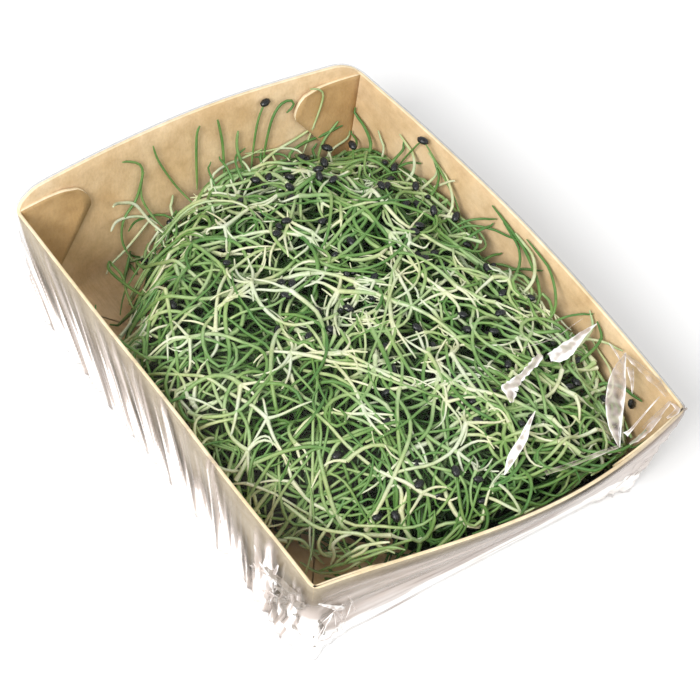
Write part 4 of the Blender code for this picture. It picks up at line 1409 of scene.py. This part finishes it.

# %% [markdown]
# ## Clear film
#
# The film is a thin clear sheet, stretched over the heap, folded down the outside of the walls
# and turned in under the floor. Over the heap it is taut and almost invisible. On the left wall
# it is gathered in ragged upright pleats, and on the front wall it runs in long level creases.
# At the two near corners the spare film is crumpled. Film this thin needs no thickness of its
# own, so it is one sheet of faces, and its shape carries the pleats and creases.
#
# Gathered film turns milky, because many layers scatter the light. So each point of the sheet
# also gets a number, from 0 for clear to 1 for milky, from the same rule as its pleats. The same
# number also paints highlight lines and shadow lines along the pleats and creases, white glints
# on the top, and, below nought, grey reflections.

# %% Rules of the film's walls
FILM_COUNTS = {"left": 300, "front": 100, "right": 70, "back": 60}
FILM_ROWS = 36
FILM_OUT = 0.0005
HEM_WIDTH = 0.0150
TOP_RINGS = 30
PLEAT_SLANT = 0.14
FAR_WALL_MILK = ([0.0, 0.6, 1.0], [0.30, 0.0, 0.0])
MILK_BY_HEIGHT = {
    "left": ([0.0, 0.30, 0.55, 0.80, 0.95, 1.0], [1.0, 0.80, 0.46, 0.26, 0.18, 0.05]),
    "front": ([0.0, 0.15, 0.22, 0.55, 0.84, 0.93, 1.0], [1.0, 0.98, 0.76, 0.66, 0.46, 0.16, 0.04]),
    "right": FAR_WALL_MILK, "back": FAR_WALL_MILK,
}


def waves(x, y, seed):
    return noise.noise(Vector((x, y, seed)))


def ridges(x, y, seed, sharp):
    """Thin lines where noise goes through nought."""
    return clamp(1.0 - sharp * abs(waves(x, y, seed)))


def pleat_place(along, share):
    """The pleats slant: where a point's pleat starts at the rim."""
    return along - PLEAT_SLANT * (1.0 - along) * (1.0 - share)


def crumpled(along, share, seed):
    """Crumpled film: folds both ways, from -1 to 1."""
    return 1.0 - abs(waves(along, share, seed)) * 2.0


def film_fold(stop, share):
    """How far the film stands off a wall at a station, share of the way up."""
    wall, along, _ = stop
    down = 1.0 - share
    if wall == "left":
        start = pleat_place(along, share)
        wide = 0.5 + 0.5 * waves(start * 30.0, share * 0.6, 5.0)
        fine = 0.5 + 0.5 * waves(start * 85.0, share * 0.8, 2.0)
        crumple = clamp((along - 0.80) / 0.2) * down * 0.0026 * crumpled(along * 36.0, share * 5.0, 9.0)
        return 0.0002 + (0.0018 * wide + 0.0012 * fine) * (0.20 + down) + max(0.0, crumple)
    if wall == "front":
        level = 0.5 + 0.5 * waves(along * 2.2, share * 7.0, 3.0)
        fine = waves(along * 5.0, share * 20.0, 8.0)
        ends = clamp(1.0 - min(along, 1.0 - along) / 0.12) * down
        crumple = ends * 0.0024 * crumpled(along * 40.0, share * 6.0, 1.0)
        return 0.0003 + 0.0010 * level * (0.25 + down) + 0.0002 * fine + max(0.0, crumple)
    spread = waves(along * 9.0 + WALLS.index(wall) * 20.0, share * 3.0, 6.0)
    return 0.0003 + 0.0004 * (spread + 1.0) * (0.3 + down)


def film_milk(stop, share):
    """How milky the film is at a station, share of the way up, with painted highlight lines and painted
    shadow lines along its pleats and creases.
    """
    wall, along, _ = stop
    ragged = 0.07 * waves(along * 6.0, 0.0, 4.0) if wall == "front" else 0.0
    milk_and_painted_light = float(np.interp(share + ragged * (1.0 - share), *MILK_BY_HEIGHT[wall]))
    if wall == "left":
        start = pleat_place(along, share)
        # White lines are painted highlights on the pleats, and the lines taken away are painted shadows.
        lines = 0.85 * ridges(start * 30.0, share * 0.5, 2.0, 4.5) * clamp(6.0 * (1.0 - share))
        lines -= 0.42 * ridges(start * 48.0, share * 0.7, 11.0, 5.0) * clamp(3.0 * share)
        milk_and_painted_light = milk_and_painted_light - 0.08 + 0.95 * waves(start * 24.0, share * 0.9, 5.0)
        return clamp(milk_and_painted_light + 0.35 * waves(start * 60.0, share, 7.0) + lines)
    if wall == "front":
        # Painted highlight lines and painted shadow lines along the front wall's creases.
        lines = 0.16 * ridges(along * 1.8, share * 6.0, 3.0, 8.0)
        lines -= 0.22 * ridges(along * 1.4, share * 9.0, 6.0, 12.0)
        # Towards the right end the film is milkier: painted light over the board's shade there.
        far = clamp((along - 0.66) / 0.16)
        cap = 0.84 if share + ragged > 0.2 else 1.0
        milk_and_painted_light = milk_and_painted_light + 0.20 * waves(along * 2.5, share * 12.0, 4.0)
        return clamp(milk_and_painted_light + lines * clamp(14.0 * (1.0 - share)) + 0.44 * far, 0.0, cap)
    return clamp(milk_and_painted_light * (0.8 + waves(along * 30.0, share * 2.0, 6.0)))


# %% [markdown]
# The top of the film is taut. It dips a little between the sprouts, has creases that run from
# the two near corners, and has a faint white haze over the near left part.

# %% Rules of the film's top
def top_milk(x, y):
    """A faint white haze on the taut top, over the near left part of the heap."""
    near = clamp((0.8 * x - y + 0.012) / 0.075) * (0.7 + 0.6 * waves(x / 0.018, y / 0.018, 2.0))
    return 0.034 * near * clamp((0.070 - x) / 0.02) + 0.001


def film_creases(x, y):
    """Small rises and dips of the taut top, with creases that run from the two near corners."""
    rise = 0.00010 * waves(x / 0.014, y / 0.014, 0.0) + 0.00005 * waves(x / 0.005, y / 0.005, 3.0)
    for corner_x, corner_y, seed in ((0.0725, 0.0565, 1.0), (0.070, -0.0545, 2.0)):
        away = math.hypot(x - corner_x, y - corner_y)
        turn = math.atan2(y - corner_y, x - corner_x)
        rise += 0.00040 * ridges(turn * 5.0, 0.2, seed, 3.2) * clamp(1.0 - away / 0.050) * clamp(away / 0.006)
    return rise


# %% [markdown]
# These rules are now put on rings round the tray. The rings start at the hem under the floor, go
# up the walls and over the rim, and then shrink towards the middle, where the last one is
# closed. Just inside the rim the film settles softly from the rim's height to its own.

# %% Rings of the film
def film_walls(stops, rims):
    """The film's rings from the hem under the floor up to the rim, and the milkiness of their points."""
    hem_x, hem_y = 1 - HEM_WIDTH / FLOOR_FRONT, 1 - HEM_WIDTH / FLOOR_RIGHT
    flat = [station_point(stop, 0.0) for stop in stops]
    rings = [[Vector((p.x * hem_x, p.y * hem_y, 0.0001)) for p in flat]]
    milk_and_painted_light = [[1.0] * len(stops)]
    for row in range(FILM_ROWS + 1):
        share = row / FILM_ROWS
        fold = [film_fold(stop, share) * clamp((1.0 - share) * 9.0 + 0.05) for stop in stops]
        away = FILM_OUT * (1.0 if row < FILM_ROWS else 0.6)
        ring = ring_at(stops, [rim * share for rim in rims], away, fold)
        low = 0.0002 - UNDERSIDE if row == 0 else 0.0
        lift = 0.0001 if row == FILM_ROWS else 0.0
        rings.append([point + Vector((0.0, 0.0, low + lift)) for point in ring])
        milk_and_painted_light.append([film_milk(stop, share) for stop in stops])
    return rings, milk_and_painted_light


def film_top(edge):
    """The taut film's rings, from over the rim in to the middle."""
    rings = []
    for step in range(1, TOP_RINGS + 1):
        left = 1.0 - (step / (TOP_RINGS + 1)) ** 0.9
        settle = clamp(step / 5.0)
        settle = settle * settle * (3.0 - 2.0 * settle)
        ring = []
        for point in edge:
            x, y = point.x * left, point.y * left
            height = point.z + (film_height(x) - point.z) * settle + film_creases(x, y) * settle
            ring.append(Vector((x, y, height)))
        rings.append(ring)
    return rings


def film_rings():
    """The whole film's rings and the milkiness of their points."""
    stops = stations(FILM_COUNTS)
    rims = [station_rim(stop) for stop in stops]
    rings, milk_and_painted_light = film_walls(stops, rims)
    edge = [p + Vector((0, 0, 0.0002)) for p in ring_at(stops, rims, -BOARD * 1.3)]
    top = film_top(edge)
    milk_and_painted_light.append([0.0] * len(stops))
    milk_and_painted_light += [[top_milk(point.x, point.y) for point in ring] for ring in top]
    return [*rings, edge, *top], milk_and_painted_light


# %% [markdown]
# Over the near right corner the taut film has a few wrinkled folds with painted glints: two
# white glints over the sprouts, one shaped like a lens by the right wall, and thin lines round
# them. Each is a narrow strip of film along a few marks, arched across its width, with ragged
# edges, and its white is a painted highlight. A ray dropped on the sheet finds its height.
# Crumpled film round the two near corners is made of the same kind of strips, and the grey ones
# among them are painted dark reflections.

# %% Folds on the film
# Each fold: marks with their widths, its arch, the milkiness that paints its glint, and how ragged it is.
PAINTED_GLINT_FOLDS = [
    ([(42.6, 35.6, 2.6), (43.2, 38.6, 4.4), (42.2, 42.8, 3.6), (40.6, 48.2, 1.8),
      (38.9, 54.3, 0.2)], 0.5, 0.80, 0.15),
    ([(41.0, 34.3, 1.6), (42.4, 31.0, 2.2), (43.6, 27.4, 1.6), (45.0, 23.4, 3.0), (46.0, 20.6, 3.8),
      (49.6, 18.6, 0.6)], 0.4, 0.72, 0.60),
    ([(54.7, 22.1, 0.2), (57.6, 17.6, 1.3), (60.2, 14.2, 2.0), (63.4, 8.4, 2.2),
      (66.7, 3.6, 0.2)], 0.3, 0.90, 0.10),
    ([(50.6, 54.4, 0.4), (54.4, 49.2, 2.8), (59.0, 44.4, 4.4), (64.0, 39.8, 4.2), (68.6, 36.4, 2.6),
      (73.4, 34.2, 0.2)], 0.6, 0.52, 0.06),
    ([(50.2, 54.8, 0.4), (56.2, 49.6, 0.5), (61.2, 45.4, 0.6), (67.6, 39.4, 0.5),
      (73.6, 34.3, 0.2)], 0.2, 0.95, 0.10),
    ([(55.0, 52.4, 2.0), (58.6, 50.0, 1.1), (62.5, 46.9, 0.2)], 0.3, 0.50, 0.10),
    ([(66.1, 53.1, 0.3), (68.5, 46.3, 0.4), (70.7, 40.3, 0.7), (71.3, 37.9, 1.6)], 0.2, 0.75, 0.15),
    ([(45.9, 52.9, 0.4), (49.5, 52.3, 0.6), (53.0, 51.3, 0.3)], 0.2, 0.70, 0.15),
    ([(36.0, 52.0, 0.2), (38.0, 41.0, 0.25), (36.5, 31.0, 0.2)], 0.1, 0.45, 0.10),
    ([(71.0, 12.9, 1.2), (72.0, 20.9, 1.2), (72.7, 28.9, 1.1), (73.3, 35.1, 0.8)], 0.2, 0.20, 0.20),
    ([(50.0, 54.2, 0.8), (56.0, 55.0, 2.2), (62.0, 55.6, 2.4), (67.0, 55.0, 1.0)], 0.4, 0.22, 0.40),
    ([(71.6, 43.0, 0.6), (70.4, 49.0, 1.4), (68.6, 54.6, 0.6)], 0.6, 0.30, 0.40),
    ([(74.0, 37.0, 0.6), (73.6, 41.0, 1.2), (72.2, 45.6, 1.4), (71.0, 49.6, 0.6)], 0.6, 0.45, 0.40),
    ([(69.2, 54.5, 0.5), (71.2, 54.8, 1.3), (72.0, 53.4, 1.3), (72.3, 50.5, 0.5)], 0.3, 0.50, 0.20),
]
CORNER_FOLDS = (
    ("left", 0.84, 1.0, 20, 2.0), ("front", 0.0, 0.10, 9, 0.8),
    ("front", 0.95, 1.0, 3, 0.8), ("right", 0.0, 0.05, 2, 0.8),
)
# A milkiness below nought paints a grey reflection.
CORNER_LEAVES = [
    ("left", [(0.860, 0.60, 0.4), (0.900, 0.66, 3.2), (0.945, 0.74, 2.6), (0.980, 0.88, 0.8)], -0.62),
    ("left", [(0.900, 0.48, 0.4), (0.930, 0.56, 1.6), (0.975, 0.66, 2.8), (0.997, 0.84, 0.8)], -0.72),
    ("left", [(0.915, 0.26, 0.4), (0.950, 0.42, 2.2), (0.990, 0.56, 0.8)], -0.50),
    ("left", [(0.950, 0.14, 0.4), (0.975, 0.26, 1.5), (0.996, 0.46, 0.5)], -0.66),
    ("left", [(0.885, 0.80, 0.3), (0.900, 0.62, 1.8), (0.908, 0.44, 0.3)], 0.92),
    ("front", [(0.004, 0.90, 0.4), (0.030, 0.78, 0.9), (0.062, 0.64, 1.5), (0.078, 0.58, 0.6)], 0.85),
    ("front", [(0.010, 0.60, 0.4), (0.022, 0.40, 1.6), (0.040, 0.16, 0.5)], -0.55),
    ("right", [(0.010, 0.95, 0.6), (0.020, 0.80, 1.6), (0.030, 0.60, 0.6)], 0.60),
]
STRIP_COLUMNS = 8
STRIP_STEPS = 10
STRIP_LIFT, STRIP_DENTS = 0.12, 0.16
FILM_BESIDE = 35.2
fold_draw = random.Random(5)


def film_strip(marks, arch, milk_and_painted_light, rough, lie, first):
    """A narrow fold along marks, in mm, that end in its width. lie puts a point on what carries it. Its
    milkiness paints light: brighter along both edges, grey and mottled below nought.
    """
    path = smooth_curve(marks, STRIP_STEPS)
    points, milks = [], []
    for index, mark in enumerate(path):
        place, width = Vector(mark[:-1]), mark[-1]
        run = Vector(path[min(index + 1, len(path) - 1)][:-1]) - Vector(path[max(index - 1, 0)][:-1])
        for column in range(STRIP_COLUMNS + 1):
            side = 2.0 * column / STRIP_COLUMNS - 1.0
            ragged = 1.0 + rough * waves(index * 0.35, 4.0 * side, 0.5)
            point, out = lie(place, run, side * 0.5 * width * ragged)
            x, y, z = point
            rise = arch * (1.0 - side * side) * min(1.0, width / 2.0)
            rise += STRIP_DENTS * min(1.0, width) * waves(x * 0.45, y * 0.45, z * 0.5)
            points.append((point + out * (STRIP_LIFT + max(-0.1, rise))) * MM)
            # Brighter along both edges: painted highlights on the fold's rims.
            value = abs(milk_and_painted_light) + 0.5 * abs(side) ** 3 + 0.45 * waves(x * 0.55, y * 0.55, z * 0.3)
            # Below nought the fold is a painted grey reflection, mottled.
            if milk_and_painted_light < 0.0:
                value += 0.5 * waves(x * 1.1, y * 1.1, z * 0.9)
            milks.append(math.copysign(clamp(value), milk_and_painted_light))
    return points, grid(len(path) - 1, STRIP_COLUMNS, first), milks


def corner_trails():
    """Folds on the outside by the two near corners, as wall, places and milkiness. Below nought is grey, a
    painted dark reflection.
    """
    trails = []
    for wall, first, last, number, widest in CORNER_FOLDS:
        for _ in range(number):
            along, share = fold_draw.uniform(first, last), fold_draw.uniform(0.10, 0.64)
            drift, climb = fold_draw.gauss(0.012, 0.016), fold_draw.uniform(0.12, 0.30)
            width = fold_draw.uniform(0.3 * widest, widest)
            trail = [(along - drift, share - climb, 0.3), (along, share, width),
                     (along + drift, share + climb, 0.4)]
            milk_and_painted_light = fold_draw.uniform(0.20, 0.95)
            trails.append((wall, trail, -milk_and_painted_light if fold_draw.random() < 0.25 else milk_and_painted_light))
    return trails + CORNER_LEAVES


# %% [markdown]
# The sheet is made first, so that a ray can be dropped on it for every point of a strip. Strips
# on the taut top stand up from it, and strips on the walls stand out from them.

# %% Make the film
def make_film(skin_finish):
    rings, ring_milk = film_rings()
    points, faces = stack(rings, foot=False)
    milk_and_painted_light = [value for ring in ring_milk for value in ring]
    sheet = BVHTree.FromPolygons(points, faces)

    def on_top(place, run, aside):
        flat = place + Vector((-run.y, run.x)).normalized() * aside
        hit = sheet.ray_cast(Vector((flat.x * MM, flat.y * MM, 0.1)), Vector((0.0, 0.0, -1.0)))[0]
        return Vector((flat.x, flat.y, hit.z / MM if hit else FILM_BESIDE)), Vector((0.0, 0.0, 1.0))

    def add_strip(*rules):
        for whole, part in zip((points, faces, milk_and_painted_light), film_strip(*rules, len(points))):
            whole.extend(part)

    for marks, arch, milkiness, rough in PAINTED_GLINT_FOLDS:
        add_strip(marks, arch, milkiness, rough, on_top)
    for wall, trail, milkiness in corner_trails():
        marks = []
        for along, share, width in trail:
            height = clamp(share, 0.04, 0.97)
            place = wall_point(wall, clamp(along), height) / MM
            marks.append((place.x, place.y, height * WALL_HEIGHT / MM, width))
        out = way_out(wall, trail[1][0], 0.5)
        away = fold_draw.uniform(1.2, 2.2)

        def on_wall(place, run, aside):
            way = Vector((out.x, out.y, 0.0))
            return place + way * away + way.cross(run).normalized() * aside, way

        add_strip(marks, 0.6, milkiness, 0.3, on_wall)
    made = put("film_sheet", points, faces, [skin_finish])
    give_numbers(made.data, "milk_and_painted_light", milk_and_painted_light)
    return made


# %% [markdown]
# ## Finish of the film
#
# Clear film lets nearly all light through and mirrors a little of it, more at a grazing angle,
# and the same from either side. That is a mix of a see-through shader and a glossy one by how
# far the surface turns away. The Fresnel node isn't used, because it takes a sheet's back for
# the inside of solid plastic and makes a mirror of it. Where the film is gathered it turns
# milky, so a white shader is mixed in by the number that each point carries. The same number
# also paints highlights white and reflections grey through that shader.

# %% Finish of the film
def clear_film(name):
    """See-through film with a mirror gloss, milky by the number on its points, which also paints highlights
    white and reflections grey.
    """
    finish = Finish(name)
    finish.tree.nodes.remove(finish.shader)
    milk_and_painted_light = finish.number("milk_and_painted_light")
    halved = finish.maths("ADD", finish.maths("MULTIPLY", milk_and_painted_light, 0.5), 0.5)
    painted_reflection_greys = (0.0, "E4E2DF"), (0.08, "B9B8B4"), (0.16, "8F9497"), (0.26, "B3B0AA"), (0.40, "8B8780")
    milks = (0.575, "A89C90"), (0.80, "CBBFB7"), (0.90, "D9CDC6"), (0.97, "FCFBF9")
    tones = finish.ramp(halved, *painted_reflection_greys, *milks)
    warm = (0.35, (0.92, 0.88, 0.85)), (0.6, WHITE)
    milky = finish.add("BsdfDiffuse", Color=finish.tinted(tones, 0.8, finish.noise(0.012), *warm))
    see = finish.add("BsdfTransparent")
    gloss = finish.add("BsdfGlossy", Roughness=0.14)
    finish.relief(finish.noise(0.0022, detail=2.0), 0.00008, gloss)
    facing = finish.add("LayerWeight", Blend=0.5)
    grazing = finish.maths("POWER", facing.outputs["Facing"], 5.0)
    mirrored = finish.maths("ADD", finish.maths("MULTIPLY", grazing, 0.50), 0.007)
    hazy = finish.mixed(finish.maths("ABSOLUTE", milk_and_painted_light, 0.0), see, milky)
    film = finish.mixed(mirrored, hazy, gloss)
    finish.feed(finish.tree.nodes["Material Output"].inputs["Surface"], film.outputs[0])
    return finish.made


film_sheet = make_film(clear_film("clear film"))
print("film_sheet:", len(film_sheet.data.polygons), "faces")

# %% [markdown]
# ## Who carries what
#
# Every piece moves with the root body, and the three solids that the pieces stand for are hidden.

# %% Tie the pieces to the solids
for piece in (tray_board, *flaps):
    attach(piece, "root")
for piece in (sprout_stems, sprout_under, sprout_roots, seed_coats, sprout_core):
    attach(piece, "root")
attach(film_sheet, "root")
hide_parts("tray")
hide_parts("sprouts")
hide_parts("film")
pieces = (tray_board, *flaps, sprout_stems, sprout_under, sprout_roots, seed_coats, sprout_core, film_sheet)
print("pieces:", [piece.name for piece in pieces])

# %% [markdown]
# ## Camera, light and floor
#
# The picture is taken from above a corner with a long lens, slightly rolled. A soft light in
# front on the left, not much above the tray, lights the insides of the far walls and shades the
# floor behind the left wall, and a weaker one on the right keeps the shadows open. The floor
# and the surroundings are near white.

# %% Camera
AIM = Vector((0.004468, 0.002799, 0.020)) + TO_ORIGIN
DISTANCE, AZIMUTH, ELEVATION, ROLL = 0.64616, 49.252, 48.986, 8.292
FOCAL_PIXELS, PICTURE_PIXELS, SENSOR = 2500.0, 700.0, 36.0


def place_camera():
    azimuth, elevation, roll = (math.radians(value) for value in (AZIMUTH, ELEVATION, ROLL))
    reach = math.cos(elevation)
    back = Vector((math.sin(azimuth) * reach, -math.cos(azimuth) * reach, math.sin(elevation)))
    level = Vector((math.cos(azimuth), math.sin(azimuth), 0.0))
    upright = back.cross(level)
    right = level * math.cos(roll) + upright * math.sin(roll)
    up = upright * math.cos(roll) - level * math.sin(roll)
    lens = bpy.data.cameras.new("camera")
    lens.sensor_width = SENSOR
    lens.lens = FOCAL_PIXELS / PICTURE_PIXELS * SENSOR
    lens.clip_start, lens.clip_end = 0.05, 20.0
    camera = in_scene("camera", lens)
    columns = (right, up, back, AIM + back * DISTANCE)
    rows = [[column[row] for column in columns] for row in range(3)]
    camera.matrix_world = Matrix((*rows, (0.0, 0.0, 0.0, 1.0)))
    bpy.context.scene.camera = camera


place_camera()
print("camera at, in mm:", [round(value / MM) for value in bpy.context.scene.camera.location])

# %% [markdown]
# Both lamps are soft discs that are turned to the tray. The floor lies just under the tray's
# underside, and is wide enough to fill the picture.

# %% Lights, surroundings and floor
LAMPS = (("key", (0.45, -1.10, 1.00), 0.7, 20.5), ("fill", (1.1, 0.3, 0.8), 0.9, 3.0))
LIT_PLACE = Vector((0, 0, 0.02))
ROOM_LIGHT = 0.78
FLOOR_HALF, FLOOR_BELOW = 3.0, 0.0002


def soft_light(name, place, size, watts):
    """A round lamp that is turned to the tray."""
    lamp = bpy.data.lights.new(name, "AREA")
    lamp.shape = "DISK"
    lamp.size = size
    lamp.energy = watts
    made = in_scene(name, lamp)
    made.location = place
    made.rotation_euler = (LIT_PLACE - Vector(place)).to_track_quat("-Z", "Y").to_euler()


def light_scene():
    for lamp in LAMPS:
        soft_light(*lamp)
    scene = bpy.context.scene
    scene.cycles.transparent_max_bounces = 32
    world = bpy.data.worlds.new("pale room")
    world.use_nodes = True
    background = world.node_tree.nodes["Background"]
    background.inputs["Color"].default_value = tint(WHITE)
    background.inputs["Strength"].default_value = ROOM_LIGHT
    scene.world = world
    scene.view_settings.view_transform = "Standard"
    scene.view_settings.look = "None"


def lay_floor():
    finish = Finish("pale floor")
    cloud = finish.ramp(finish.noise(0.4, detail=2.0), (0.0, (0.90, 0.90, 0.90)), (1.0, (0.94, 0.94, 0.94)))
    signs = ((-1, -1), (1, -1), (1, 1), (-1, 1))
    corners = [Vector((x * FLOOR_HALF, y * FLOOR_HALF, -FLOOR_BELOW)) - TO_ORIGIN for x, y in signs]
    floor = put("floor", corners, [(0, 1, 2, 3)], [finish.skin(cloud, 0.9, 0.0)], smooth=False)


light_scene()
lay_floor()
